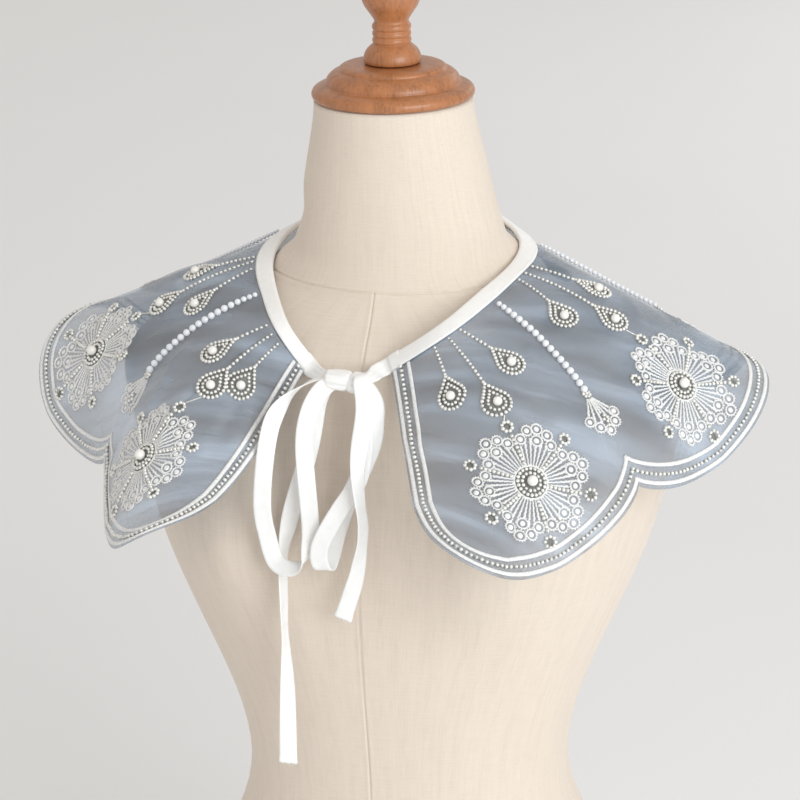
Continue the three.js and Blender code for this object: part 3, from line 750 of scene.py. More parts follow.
# Turn from the petal's or fan's middle in degrees, and reach from the motif's middle.
PETAL_LOOPS = [(-21, 26.8), (-11.5, 31.8), (0, 34.2), (11.5, 31.8), (21, 26.8), (0, 26.2)]
PETAL_RIBS = [(-24, 22.8), (-16, 25.4), (-8, 27.6), (0, 22.6), (8, 27.6), (16, 25.4), (24, 22.8)]
FAN_LOOPS = [(-30, 19.3), (-15.5, 23.2), (0, 25.8), (15.5, 23.2), (30, 19.3)]
FAN_RIBS = [(-32, 15.8), (-21, 19.4), (-9, 20.4), (0, 14.6), (9, 20.4), (21, 19.4), (32, 15.8)]
FAN_BEADS = [(0.3, 16.6), (1.9, 18.4), (-1.6, 18.8), (0.5, 20.6), (-0.4, 22.8)]  # across, outwards
FAN_SHIFT = 2.4  # the fan's knot lies this much nearer to the neck edge
FAN_RIB_START = 3.6


def polar(angle_deg, radius):
    """Across and outward distances; 0 degrees points at the neck edge."""
    angle = np.radians(angle_deg)
    return radius * np.sin(angle), -radius * np.cos(angle)


def circle(radius, count, middle=(0.0, 0.0), phase=0.0):
    """Across and outward distances of places round a circle."""
    turn = turns(count) + phase
    return np.stack([middle[0] + radius * np.sin(turn), middle[1] + radius * np.cos(turn)])


def add_round(parts, motif, section, inner, outer, swell=1.0, lift=0.0, middle=(0.0, 0.0)):
    """A hoop of thread through a section that lies between two edges."""
    turn = turns(len(outer))[:, None]
    share, height = np.transpose(section)
    reach = lerp(inner, outer[:, None], share)
    a, o = middle[0] + reach * np.sin(turn), middle[1] + reach * np.cos(turn)
    add_hoop(parts, motif.points(a, o, TOP_LAYER + height * swell + lift))


def add_loop(parts, motif, middle, size):
    """A satin ring with picots round it."""
    tooth = np.arange(2 * LOOP["picots"]) % 2 == 0
    outer = (LOOP["outer"] + LOOP["picot"] * tooth) * size
    lift = 0.12 * tooth[:, None]
    add_round(parts, motif, LOOP_SECTION, LOOP["inner"] * size, outer, lift=lift, middle=middle)


def add_satin_ring(parts, motif):
    """A flat ring of radial satin stitches."""
    stitches = SATIN_RING["stitches"]
    turn = turns(3 * stitches)
    outer = SATIN_RING["outer"] + 0.5 * np.cos(turn * stitches / 2)
    swell = SATIN_RING["height"] * (1 + 0.22 * np.cos(turn * stitches))[:, None]
    add_round(parts, motif, SATIN_SECTION, SATIN_RING["inner"], outer, swell)


def add_rib(parts, motif, start, end, end_width):
    """A row of knots of thread between two places, wider towards its end."""
    start, end = np.array(start, float), np.array(end, float)
    length = np.linalg.norm(end - start)
    step = np.arange(2 * max(4, int(round(length / RIB["knot"]))) + 1)
    t = step / step[-1]
    swell = np.where(step % 2 == 1, 1.0, 0.68)
    width = lerp(RIB["start"], end_width, t) * swell
    aside = 0.08 * width * np.where(step % 4 < 2, 1, -1)
    share, height = np.transpose(RIB_SECTION)
    shift = aside[:, None] + 0.5 * width[:, None] * share
    way = (end - start) / length
    a = (start[0] + t * (end - start)[0])[:, None] - way[1] * shift
    o = (start[1] + t * (end - start)[1])[:, None] + way[0] * shift
    height = TOP_LAYER + RIB["height"] * height * swell[:, None]
    add_tube(parts, motif.points(a, o, height)[:, ::-1])


def add_ground(parts, motif, outline, height=PAD_HEIGHT):
    """A thin pad of grey couching thread inside an outline; its dark tone also paints the shade
    under the beads round it.
    """
    share = np.linspace(0, 1, 6)[:, None]
    a, o = outline[:, None] * (share + 0.02 * (1 - share))
    top = motif.points(a, o, TOP_LAYER + height * (1 - share**6))
    under = motif.points(a, o, TOP_LAYER - 0.12)
    add_tube(parts, np.concatenate([top, under[::-1]]))


def add_dots(parts, motif, places, rng):
    """Padded satin dots lying on the cloth."""
    a, o = np.transpose(places)
    size = LOOP["dot"] * rng.uniform(0.92, 1.05, len(a))
    spots = motif.points(a, o, TOP_LAYER + 0.2)
    add_balls(parts, spots, size, axes=motif.normals(a, o), squash=DOT_FLAT)


def add_rosette(beads, ground, motif, middle, sizes, rng):
    """Seed beads in a small ring."""
    ring = circle(ROSETTE["radius"], ROSETTE["beads"], middle, rng.uniform(0, 0.7))
    size = 0.53 * sizes.bead * rng.uniform(0.9, 1.06, ROSETTE["beads"])
    add_balls(beads, motif.points(*ring, TOP_LAYER + 1.0), size)
    # A dark grey couching pad in the ring's hole, which also paints the shade there.
    add_ground(ground, Motif(*motif.places(*middle)), circle(ROSETTE["pad"], 14))


def make_flower(number, sizes, rng):
    motif = Motif(*spot(number + 0.5, FLOWER_AT))
    thread, beads, pearls, ground = Parts(), Parts(), Parts(), Parts()
    add_satin_ring(thread, motif)
    dots = []
    ray = np.arange(SATIN_RING["outer"] + 1, sizes.rosette_reach - 4, RAY_PITCH)
    for petal in range(PETALS):
        edge = 360 / PETALS * petal
        middle = edge + 180 / PETALS
        for turn, reach in PETAL_RIBS:
            start = polar(middle + turn, SATIN_RING["outer"] - 0.5)
            add_rib(thread, motif, start, polar(middle + turn * 0.97, reach), RIB["end"])
        for turn, reach in PETAL_LOOPS:
            dots.append(polar(middle + turn + rng.normal(0, 0.4), reach + rng.normal(0, 0.2)))
            add_loop(thread, motif, dots[-1], rng.uniform(0.95, 1.05))
        add_rosette(beads, ground, motif, polar(edge, sizes.rosette_reach), sizes, rng)
        add_balls(beads, motif.points(*polar(edge, ray), TOP_LAYER + 1.25), 0.5 * sizes.bead)
    add_dots(thread, motif, dots, rng)
    for radius, count in FLOWER_ROWS:
        row = motif.points(*circle(radius, count), TOP_LAYER + 1.2)
        add_balls(beads, row, 0.5 * sizes.bead * rng.uniform(0.93, 1.05, count))
    # A dark grey couching pad under the pearl and its rings of beads, which also paints the shade
    # round them.
    add_ground(ground, motif, circle(SATIN_RING["inner"], 36), 0.35)
    top = motif.points(0, 0, TOP_LAYER + 0.5 * sizes.flower_pearl + 0.3)
    add_balls(pearls, top, 0.5 * sizes.flower_pearl, PEARL_BALL)
    tag = f"flower_{number + 1}"
    thread.build(f"{tag}_stitches", "thread", "embroidery_thread", tag)
    beads.build(f"{tag}_beads", "silver", "seed_beads")
    ground.build(f"{tag}_couching", "couching", "embroidery_thread")
    pearls.build(f"{tag}_pearl", "pearl", "pearls")


def make_fan(number, sizes, rng):
    station, run = spot(number, FAN_AT)
    motif = Motif(station, run - FAN_SHIFT)
    thread, beads = Parts(), Parts()
    dots = [polar(180 - turn, reach) for turn, reach in FAN_LOOPS]
    for dot in dots:
        add_loop(thread, motif, dot, rng.uniform(0.9, 1.0))
    for turn, reach in FAN_RIBS:
        start, end = polar(180 - turn, FAN_RIB_START), polar(180 - turn, reach)
        add_rib(thread, motif, start, end, RIB["fan_end"])
    add_dots(thread, motif, dots, rng)
    ring = circle(FAN_KNOT["radius"], FAN_KNOT["beads"])
    add_balls(beads, motif.points(*ring, TOP_LAYER + 1.0), 0.45 * sizes.bead)
    add_balls(beads, motif.points(0, 0, TOP_LAYER + 1.2), 0.5 * sizes.bead)
    size = 0.48 * sizes.bead * rng.uniform(0.9, 1.1, len(FAN_BEADS))
    add_balls(beads, motif.points(*np.transpose(FAN_BEADS), TOP_LAYER + 1.3), size)
    thread.build(f"fan_{number}_stitches", "thread", "embroidery_thread", f"fan_{number}")
    beads.build(f"fan_{number}_beads", "silver", "seed_beads")


# ---------- Drops and pearl lines ----------
# Radius, tip and bead size of the outer and inner row of a drop.
DROP_ROWS = ((8.2, 14.6, 1.0), (5.1, 8.9, 0.92))
DROP_PITCH, STRING_PITCH = 2.62, 3.0
BACK_LINE_SHARE = 0.7  # the lines over the shoulders and the back have smaller pearls
FAN_GAP = 5.5  # a pearl line ends this far before its fan's place


def teardrop(radius, tip, spacing):
    """Evenly spaced places round a drop: a round foot, and sides to a tip towards the neck."""
    lean = math.acos(radius / tip)
    turn = np.linspace(-(math.pi - lean), math.pi - lean, 60)
    foot = np.stack([radius * np.sin(turn), radius * np.cos(turn)], -1)
    outline = np.concatenate([[(0.0, -tip)], foot, [(0.0, -tip)]])
    length = arc_length(outline)
    count = int(round(length[-1] / spacing))
    return rows_at(np.linspace(0, length[-1], count, endpoint=False), length, outline).T


def line_on_cloth(start, end, height):
    """A line between two places of the cloth, and the cloth's normals along it."""
    share = np.linspace(0, 1, 120)
    station, run = lerp(start[0], end[0], share), lerp(start[1], end[1], share)
    points = lifted(station, run, TOP_LAYER + height)
    return points, surface_frame(flat_cloth, station, run)[2]


def make_drop(lobe, drop, sizes, rng):
    middle = lobe + 0.5
    start = np.array([middle + drop["string"], STRING_AT])
    heart = np.array(spot(middle + drop["turn"], drop["at"]))
    across = (heart[0] - start[0]) * station_width(0.5 * (heart[1] + start[1]))
    motif = Motif(*heart, heading=(across, heart[1] - start[1]))
    beads, pearls, ground = Parts(), Parts(), Parts()
    for radius, tip, size in DROP_ROWS:
        spots = motif.points(*teardrop(radius, tip, DROP_PITCH * size), TOP_LAYER + 1.0)
        add_balls(beads, spots, 0.51 * sizes.bead * size * rng.uniform(0.93, 1.05, len(spots)))
    foot, tip, _ = DROP_ROWS[0]
    # A dark grey couching pad inside the drop, and below a dark thread under its string, which also
    # paint the shade between the beads.
    add_ground(ground, motif, teardrop(foot - 0.2, tip - 0.2, 1.2), 0.4)
    top = motif.points(0, 0.2, TOP_LAYER + 0.4 * sizes.drop_pearl)
    add_balls(pearls, top, 0.5 * sizes.drop_pearl, PEARL_BALL)
    line, normal = line_on_cloth(motif.places(0, -tip - 1.8), start, 0.8)
    strung, _ = resampled(line, STRING_PITCH)
    size = np.linspace(1.0, 0.82, len(strung)) * rng.uniform(0.95, 1.05, len(strung))
    add_balls(beads, strung, 0.46 * sizes.bead * size, axes=tangents(strung), squash=1.15)
    add_thread(ground, line[::4], normal[::4], 0.3)
    if drop["letter"] == "b":
        # The middle drop is linked to the flower's first rosette.
        flower = Motif(*spot(middle, FLOWER_AT))
        end = flower.places(*polar(0, sizes.rosette_reach + 4.2))
        link, normal = line_on_cloth(motif.places(0, foot + 1), end, 0.5)
        add_thread(beads, link[::6], normal[::6], 0.45)
    tag = f"drop_{lobe + 1}{drop['letter']}"
    beads.build(f"{tag}_beads", "silver", "seed_beads", tag)
    ground.build(f"{tag}_couching", "couching", "embroidery_thread")
    pearls.build(f"{tag}_pearl", "pearl", "pearls")


def make_pearl_line(number, sizes):
    """Pearls from the fan up to the neckband, smaller towards the neckband."""
    end = spot(number, FAN_AT - FAN_GAP)
    line, _ = line_on_cloth((number, STRING_AT), end, 0.42 * sizes.pearl)
    length = arc_length(line)
    most = sizes.pearl * (BACK_LINE_SHARE if 1 < number < LOBES - 1 else 1)
    places, widths, place = [], [], length[-1]
    while place > 0:
        places.append(place)
        widths.append(most * min(1.0, 0.7 + place / 60))
        place -= widths[-1] + 0.2
    parts = Parts()
    add_balls(parts, rows_at(places, length, line), 0.5 * np.array(widths), PEARL_BALL)
    parts.build(f"pearl_string_{number}", "line_pearl", "pearls", f"pearl_line_{number}")


# ---------- Neckband ----------
BAND_WALL = 0.75
BAND_TOP = -1.3  # run of the fold, above the neck edge
BAND_LAYER = 1.0  # half the gap that the folded ribbon leaves for the organza
BAND_LENGTH, BAND_WIDTH = 500, 10  # size of the cut that the ribbon's weave follows
BAND_STITCH = {"inset": 1.2, "pitch": 1.9, "radius": 0.5, "flat": 0.45}
# Stations and the shown width there of the folded ribbon, which is less even on the wearer's right.
BAND_STATIONS, BAND_DEPTHS = (0, 1.5, 4, 5, 6), (10.0, 10.4, 10.4, 8.8, 8.8)


def band_depth(station):
    return np.interp(station, BAND_STATIONS, BAND_DEPTHS)


def make_neckband(rng):
    """A ribbon folded over the neck edge, with a line of stitches along its lower edge."""
    stations = np.linspace(FRONT_END, LOBES - FRONT_END, 360)
    outer = BAND_LAYER + BAND_WALL
    fold = np.radians(np.linspace(90, -90, 7))[1:-1]
    flank = np.linspace(1, 0.05, 9)
    share = np.concatenate([flank, np.zeros(5), flank[::-1]])
    back = np.concatenate([np.zeros(9), np.cos(fold), np.zeros(9)])
    side = np.concatenate([np.ones(9), np.sin(fold), -np.ones(9)])
    wobble = 0.2 * smooth_noise(rng, len(stations), 34)[:, None]
    roll = 0.28 * smooth_noise(rng, len(stations), 18)[:, None]
    crown = 0.25 * np.sin(math.pi * share) * np.sign(side)
    height = crown + wobble * share * np.sign(side)
    walls = []
    for wall in (0.0, BAND_WALL):
        run = band_depth(stations)[:, None] * share + (BAND_TOP + wall) * back
        run = run + roll * (share - 0.5)
        walls.append(lifted(stations[:, None] + 0 * run, run, (outer - wall) * side + height))
    length = BAND_LENGTH / LOBES * (stations - LOBES / 2)
    across = BAND_WIDTH * np.concatenate([share, share[::-1]])
    flat = np.stack(np.broadcast_arrays(across, length[:, None]), -1)
    parts, stitches = Parts(), Parts()
    add_tube(parts, np.concatenate([walls[0], walls[1][:, ::-1]], 1), flat)
    band = parts.build("neckband_ribbon", "ribbon", "ribbon", "neckband")
    places = np.linspace(stations[0] + 0.02, stations[-1] - 0.02, 400)
    line = lifted(places, band_depth(places) - BAND_STITCH["inset"], outer + 0.14)
    dots, _ = resampled(line, BAND_STITCH["pitch"])
    axes = np.cross(tangents(dots), (0, 0, 1))
    add_balls(stitches, dots, BAND_STITCH["radius"], DOT_BALL, axes, BAND_STITCH["flat"])
    stitches.build("neckband_stitches", "ribbon", "embroidery_thread")


# ---------- Ribbon bow ----------
# Rows of a strand's middle line x, y, z, the plan direction of its width (lean), the rise of its
# width (dip) and its width, which is the ribbon's where none stands.
TIE_LEFT = [
    (-36.9, -80.4, 527.1, -118, -33, 11.6),
    (-33.9, -80, 523.1, -115, -38, 11.4),
    (-30.6, -82.4, 520.9, -120, -38, 10.6),
    (-26.2, -88.4, 520.9, -130, -33, 9.8),
    (-20.5, -96, 522.2, -138, -27, 9),
    (-12, -102.5, 522.8, -140, -24, 7.4),
]
TIE_RIGHT = [
    (25.2, -81.4, 531.2, -54, -29, 12.6),
    (18.5, -80.6, 526.7, -57, -32, 12.4),
    (14.6, -83.2, 524.6, -52, -33, 11.2),
    (12.6, -89.2, 524.2, -38, -33, 10),
    (12.2, -96, 524, -24, -32, 9),
    (7, -102, 522.6, -15, -31, 7.4),
]
SLEEVE = {"length": 6.5, "fade": 6, "wall": 3.9}  # where a tie encloses the neckband's end
TIE_STYLE = {"cup": 0.2, "pleats": 0.35, "sleeved": True}
LOOP_LEFT = [
    (-14, -101, 522, 100, 0, 7),
    (-20, -102, 521.6, 100, -3, 8.4),
    (-25.5, -104.8, 519.8, 96, -5, 9.5),
    (-31, -109.5, 516.6, 84, -8, 10.2),
    (-36.2, -115, 511.9, 66, -6),
    (-40.8, -122.5, 504.5, 46, -4),
    (-43, -130, 494, 30, -2),
    (-47, -130, 471.5, 17, 0),
    (-51, -124, 445.5, 14, 0),
    (-50, -121.5, 429.5, 14, 6),
    (-46.5, -121.5, 414.5, 25, 22),
    (-41, -123.5, 408.5, 58, 40),
    (-33.5, -124, 407.5, 84, 38),
    (-26.5, -123.5, 411.5, 78, 20),
    (-22.5, -122, 422.5, 36, 8),
    (-22.3, -120.5, 439.5, 17, 0),
    (-24.5, -119.5, 472.5, 17, 0),
    (-24.5, -117.5, 493.5, 17, 0),
    (-21, -113.5, 508.5, 12, -20),
    (-15.2, -107.5, 518, -4, -46, 10.4),
    (-8, -103.5, 521.5, -8, -54, 8.6),
]
LOOP_RIGHT = [
    (9, -101.5, 521.5, 50, 8, 8.4),
    (14, -102.4, 514.6, 56, 4, 9.6),
    (17, -103.4, 507.5, 58, 0, 10.4),
    (17.5, -105.5, 498.5, 60, 0),
    (16.5, -107, 489.5, 52, 0),
    (11.8, -108.5, 476.5, 34, 0),
    (3.2, -109.5, 459, 20, 0),
    (-3.2, -110.5, 444, 17, 0),
    (-8.2, -112, 428, 17, 0),
    (-11.5, -114.5, 414, 12, 0),
    (-13.5, -119.5, 407.5, 8, 0),
    (-15.3, -124.5, 411.5, 6, 0),
    (-15.8, -125, 421, 8, 0),
    (-11.5, -124.5, 432, 14, 0),
    (-3, -120.6, 447, 17, 0),
    (4.8, -116.6, 459, 17, 0),
    (9.2, -114, 472, 17, 0),
    (10.6, -112.8, 486.5, 17, 0),
    (10.2, -110.4, 501, 17, 0, 10),
    (8.4, -106, 513.8, 17, 4, 9),
    (6, -103, 521, 17, 8, 8),
]
TAIL_LONG = [
    (-11.5, -103, 520, 20, 8, 7),
    (-17.5, -104, 511.5, 17, 0, 8.4),
    (-21, -106.4, 501, 17, 0, 10.6),
    (-22.5, -109.5, 489, 17, 0),
    (-27, -111, 470.5, 18, 0),
    (-35, -112, 445.5, 20, 0),
    (-39.5, -112.5, 427.5, 44, 0),
    (-42.5, -113.5, 411, 74, 0),
    (-43, -114, 391, 80, 0),
    (-43.3, -114, 369, 84, 0),
    (-43, -114, 346.5, 74, 0),
    (-43, -114, 319, 46, 0),
    (-44.5, -113, 273.5, 22, 0),
]
TAIL_SHORT = [
    (6, -101.5, 524, 20, 14, 8),
    (7.8, -105.8, 527.2, 20, 12, 9.2),
    (9.2, -109.8, 525.2, 20, 10, 10),
    (10.6, -111.6, 519, 20, 6, 10.6),
    (12.2, -114.6, 508.5, 19, 0),
    (11, -118.5, 494, 18, 0),
    (9.5, -122, 477, 44, 0),
    (9.5, -123, 464, 66, 0),
    (10.5, -122.5, 450, 74, 0),
    (11, -121, 433, 72, 0),
    (8, -119.5, 416, 56, 0),
    (4, -118, 400, 36, 0),
    (-5, -116.5, 374.5, 14, 0),
]
# Piece, node, rows, the piece it rests on, and how it differs from a plain strand.
STRANDS = (
    ("tie_ribbon_left", "tie_left", TIE_LEFT, "neckband_ribbon", TIE_STYLE),
    ("tie_ribbon_right", "tie_right", TIE_RIGHT, "neckband_ribbon", TIE_STYLE),
    ("loop_ribbon_left", "bow_loop_left", LOOP_LEFT, "bow_knot_wrap", {}),
    ("loop_ribbon_right", "bow_loop_right", LOOP_RIGHT, "bow_knot_wrap", {}),
    ("tail_ribbon_long", "tail_long", TAIL_LONG, "bow_knot_wrap", {"free_end": True}),
    ("tail_ribbon_short", "tail_short", TAIL_SHORT, "bow_knot_wrap", {"free_end": True}),
)
STRAND_WALL = 0.95
STRAND_STEP = 1.4  # length between two rings of a strand
CUT_END = {"over": 6, "slant": 0.9, "ragged": 0.35, "flare": 0.07}
FRAY = {"threads": 12, "radius": 0.11, "shortest": 0.8, "longest": 2.4}


def strand_frames(rows, ribbon):
    """Middle line, width direction, face direction, width and length along a strand."""
    at = natural_spline([row if len(row) == 6 else (*row, ribbon) for row in rows])
    fine = np.linspace(0, len(rows) - 1, 60 * len(rows))
    length = arc_length(at(fine)[:, :3])
    along = np.linspace(0, length[-1], int(length[-1] / STRAND_STEP) + 2)
    t = np.interp(along, length, fine)
    row = at(t)
    tangent = unit(at(t + 0.01)[:, :3] - at(t - 0.01)[:, :3])
    lean, dip = np.radians(row[:, 3]), np.radians(row[:, 4])
    side = np.stack([np.cos(lean) * np.cos(dip), np.sin(lean) * np.cos(dip), np.sin(dip)], -1)
    side = unit(side - tangent * np.sum(side * tangent, -1, keepdims=True))
    return row[:, :3], side, np.cross(tangent, side), row[:, 5], along


def make_strand(
    name, node, rows, rests_on, ribbon, rng, cup=0.5, pleats=0.0, sleeved=False, free_end=False
):
    """A folded ribbon: two layers with round folded edges, softly cupped along its length.

    A sleeved strand is thicker at its start, where it encloses the neckband's end.
    """
    middle, side, face, width, at = strand_frames(rows, ribbon)
    u = np.concatenate([np.linspace(1, -1, 11), np.linspace(-1, 1, 11)])
    top = np.concatenate([np.ones(11), -np.ones(11)])
    cover = np.clip(1 - (at - SLEEVE["length"]) / SLEEVE["fade"], 0, 1)[:, None] * sleeved
    cover = cover * cover * (3 - 2 * cover)
    rounding = 1 - 0.86 * np.abs(u) ** lerp(10, 34, cover)
    thick = 0.5 * lerp(STRAND_WALL, SLEEVE["wall"], cover) * rounding
    curl = cup * smooth_noise(rng, len(at), 5)[:, None]
    roll = 0.3 * smooth_noise(rng, len(at), 9)[:, None]
    gather = pleats * np.linspace(0, 1, len(at))[:, None]
    bend = curl * (u**2 - 0.4) + roll * u + gather * np.sin(3 * math.pi * u + 0.5)
    a = 0.5 * width[:, None] * u
    b = bend * (1 - cover) + thick * top
    shift = np.zeros_like(a)
    if free_end:
        last = np.clip(1 - (at[-1] - at) / CUT_END["over"], 0, 1)[:, None]
        shift = last * (CUT_END["slant"] * u + CUT_END["ragged"] * np.sin(9 * u + 1))
        a = a * (1 + CUT_END["flare"] * last)
    tangent = tangents(middle)
    rings = middle[:, None] + a[..., None] * side[:, None] + b[..., None] * face[:, None]
    rings = rings + shift[..., None] * tangent[:, None]
    parts = Parts()
    add_tube(parts, rings, np.stack(np.broadcast_arrays(a, at[:, None]), -1))
    if free_end:
        add_frayed_threads(parts, rings[-1], tangent[-1], face[-1], rng)
    strand = parts.build(name, "ribbon", "ribbon", node)


def add_frayed_threads(parts, ring, tangent, face, rng):
    """A few loose warp threads at a cut end."""
    t, angle = np.linspace(0, 1, 4)[:, None], turns(4)[:, None]
    around = np.cos(angle) * unit(np.cross(tangent, face)) + np.sin(angle) * face
    for share in rng.uniform(0.06, 0.94, FRAY["threads"]):
        base = lerp(ring[0], ring[10], share) - 0.4 * tangent
        length = rng.uniform(FRAY["shortest"], FRAY["longest"])
        lean = rng.normal(0, 0.25, 3)
        middle = base + t * length * (tangent + lean) + t**2 * 0.3 * face
        add_tube(parts, middle[:, None] + FRAY["radius"] * (1.2 - t)[:, None] * around)


KNOT = {"left": -16, "right": 12.5, "fall": 2.4, "y": -102.5, "z": 522.5}
KNOT_HEIGHT, KNOT_DEPTH = 12.4, 13


def bell(distance, width):
    return np.exp(-((distance / width) ** 2))


def make_knot():
    """A soft bundle wrapped by the ribbon, with folds running along it and a slanting pinch."""
    t, angle = np.linspace(0, 1, 84)[:, None], turns(72)[None, :]
    pinch = t - 0.54 - 0.05 * np.sin(angle)
    waist = 1 - 0.15 * bell(pinch, 0.035) - 0.06 * bell(pinch, 0.14)
    ends = np.minimum(np.clip(t / 0.1, 0, 1), np.clip((1 - t) / 0.08, 0, 1))
    rounding = np.sqrt(np.maximum(0.02, 1 - (1 - ends) ** 2))
    swell = (0.75 + 0.25 * np.sin(math.pi * t) ** 0.5) * waist * rounding
    left = 1 / (1 + np.exp(pinch / 0.02))  # 1 on the pinch's left, where the wrap lies under
    folds = 0.05 * np.sin(5 * angle + 1.2 + 2.2 * t) + 0.035 * np.sin(9 * angle - 4.1 * t)
    hollow = -0.15 * left * bell(angle - math.pi - 0.5 + 0.6 * t, 0.2)
    ridge = 0.09 * left * bell(angle - math.pi + 0.1 + 0.5 * t, 0.22)
    radius = swell * (1 + folds + hollow + ridge + 0.05 * (1 - left))
    deep = np.sign(np.cos(angle)) * np.abs(np.cos(angle)) ** 0.8
    x = lerp(KNOT["left"], KNOT["right"], t) + 0 * angle
    y = KNOT["y"] + 0.5 * KNOT_DEPTH * radius * deep
    z = KNOT["z"] - KNOT["fall"] * t + 0.5 * KNOT_HEIGHT * radius * np.sin(angle)
    parts = Parts()
    flat = np.broadcast_arrays(6 * np.abs(angle - math.pi), 28.5 * t)
    add_tube(parts, np.stack([x, y, z], -1), np.stack(flat, -1))
    parts.build("bow_knot_wrap", "ribbon", "ribbon", "bow_knot")


# ---------- Linen dress form ----------
# Height, half width, front and back of the form's sections, and the power of their roundness.
FORM = [
    (0, 170, -102, 118, 2.35),
    (70, 170, -104, 122, 2.35),
    (130, 148, -101, 113, 2.3),
    (190, 116, -93, 95, 2.2),
    (240, 103, -87, 86, 2.15),
    (290, 113, -91, 93, 2.2),
    (340, 134, -97, 103, 2.3),
    (390, 155, -99, 109, 2.35),
    (430, 167, -100, 111, 2.3),
    (465, 176, -96, 107, 2.2),
    (495, 181, -90, 97, 2.15),
    (513, 173, -83, 91, 2.1),
    (524, 160, -77, 87, 2.05),
    (535, 140, -69, 83, 2.05),
    (545, 115, -60.5, 79, 2.05),
    (558, 83, -52, 77, 1.9),
    (567, 69.3, -48.4, 72, 2),
    (578, 66, -47.3, 65, 2),
    (592, 65, -46.8, 56.5, 2.05),
    (610, 60.5, -46.3, 54, 2),
    (637, 54.5, -46, 52, 2),
    (658, 50, -47.5, 49.5, 2),
    (670.5, 48.5, -48.5, 48.5, 2),
]
form_rows = natural_spline(FORM)
BUST = {"height": 408, "apart": 90, "spread": 30, "rise": 25}
# Rises of the shoulder into the neck: direction in plan and its spread in degrees, height, half
# height and rise.
FLARE_COLUMNS = ("turn", "wide", "height", "tall", "rise")
FLARES = [(176, 46, 566, 10, 11), (28, 26, 570, 9, 10), (176, 50, 598, 13, -5)]
NECK_SEAM = 561
SEAM = {"depth": 0.7, "width": 1.1, "reach": 12}
GRAIN_RADIUS = 110  # radius at which the linen's threads have their own spacing


def form_section(level, angle):
    """Points of the form's surface; a level counts the rows of FORM."""
    height, half, front, back, square = np.moveaxis(form_rows(level), -1, 0)
    c, s = np.cos(angle), np.sin(angle)
    x = half * np.sign(c) * np.abs(c) ** (2 / square)
    y = (front + back) / 2 + (back - front) / 2 * np.sign(s) * np.abs(s) ** (2 / square)
    away = np.hypot(np.abs(x) - BUST["apart"], height - BUST["height"]) / BUST["spread"]
    swell = BUST["rise"] * np.exp(-0.5 * away**2) * np.maximum(0, -s)
    out = np.zeros_like(x)
    for row in FLARES:
        flare = dict(zip(FLARE_COLUMNS, row))
        apart = (np.degrees(np.arctan2(s, c)) - flare["turn"] + 180) % 360 - 180
        fade = bell(apart, flare["wide"]) * bell(height - flare["height"], flare["tall"])
        out = out + flare["rise"] * fade
    return np.stack([x + out * c, y - swell + out * s, height], -1)


def seam_dip(distance):
    """A stitched seam: a narrow groove between two low ridges."""
    groove = bell(distance, 0.45 * SEAM["width"])
    ridge = bell(np.abs(distance) - 1.3 * SEAM["width"], SEAM["width"])
    return SEAM["depth"] * (0.35 * ridge - groove)


def make_form():
    # Points crowd where the seams run: the neck, the centre front and the centre back.
    fine = np.array([0, 0.35, 0.7, 1.1, 1.6, 2.3, 3.4, 5.0])
    near = np.concatenate([-fine[:0:-1], fine])
    front, back = -math.pi / 2, math.pi / 2
    spread = np.linspace(front, back, 66)[3:-3]
    right = np.concatenate([front + fine / 100, spread, back - fine[::-1] / 100])
    angle = np.concatenate([right, math.pi - right[1:-1][::-1]])
    count = len(FORM)
    seam_at = np.interp(NECK_SEAM + near, np.array(FORM)[:, 0], np.arange(count))
    level = np.unique(np.concatenate([np.linspace(0, count - 1, 4 * count - 3), seam_at]).round(5))
    points = form_section(*np.broadcast_arrays(level[:, None], angle))
    around = np.roll(points, -1, 1) - np.roll(points, 1, 1)
    normal = unit(np.cross(around, np.gradient(points, axis=0)))
    below = (points[..., 2] < NECK_SEAM) & (np.abs(points[..., 0]) < SEAM["reach"])
    dip = np.where(below, seam_dip(points[..., 0]), 0) + seam_dip(points[..., 2] - NECK_SEAM)
    dip[0], dip[-1] = 0, 0
    points = points + normal * dip[..., None]
    # The cover's grain runs straight down from neck to hips, alike on both sides.
    across = GRAIN_RADIUS * (math.pi - np.abs(angle - back))
    parts = Parts()
    add_tube(parts, points, np.stack(np.broadcast_arrays(across, points[..., 2]), -1))
    parts.build("linen_form", "linen", "linen", "form_body")


# ---------- Turned wood ----------
# Radius and height over the cap's datum.
CAP_PROFILE = [
    (0, -19), (47, -19), (49.4, -17.6), (50, -15), (48.6, -12.4), (45, -10.6), (41, -9.8),
    (41.2, -8.2), (39.6, -5), (36.4, -2.4), (32.6, -1.2), (32.8, 0), (30.6, 1.4), (25, 2), (0, 2),
]
FINIAL_PROFILE = [
    (0, 2.3), (16.8, 2.3), (17.7, 4.2), (17.4, 7.4), (15.6, 11), (12.4, 13.8), (11, 14.6),
    (11.9, 15.6), (11.9, 17.4), (11, 18.6), (11.8, 19.6), (11.8, 21.4), (11, 22.6),
    (11.9, 23.8), (11.9, 25.8), (10.6, 27.4), (10.4, 28.8), (13.4, 33.4), (16.4, 37.6),
    (18.3, 42.6), (18.9, 48), (18, 53.6), (15.2, 59), (10.6, 63.2), (5.4, 65.6), (0, 66.4),
]


def softened(profile):
    """Corners cut twice, as sanding leaves them."""
    points = np.array(profile, float)
    for _ in range(2):
        early = lerp(points[:-1], points[1:], 0.22)
        late = lerp(points[:-1], points[1:], 0.78)
        inner = np.stack([early, late], 1).reshape(-1, 2)
        points = np.concatenate([points[:1], inner[1:-1], points[-1:]])
    return points


def make_turned(name, node, profile):
    radius, height = softened(profile)[1:-1].T[..., None]
    angle = turns(96)
    rings = np.broadcast_arrays(radius * np.cos(angle), radius * np.sin(angle), CAP_DATUM + height)
    parts = Parts()
    add_tube(parts, np.stack(rings, -1))
    parts.build(name, "wood", "wood", node)


# ---------- Stage ----------
CAMERA = {"target": (23.5, -79.5, 504.1), "distance": 1920, "lens": 144, "sensor": 36, "reach": 20}
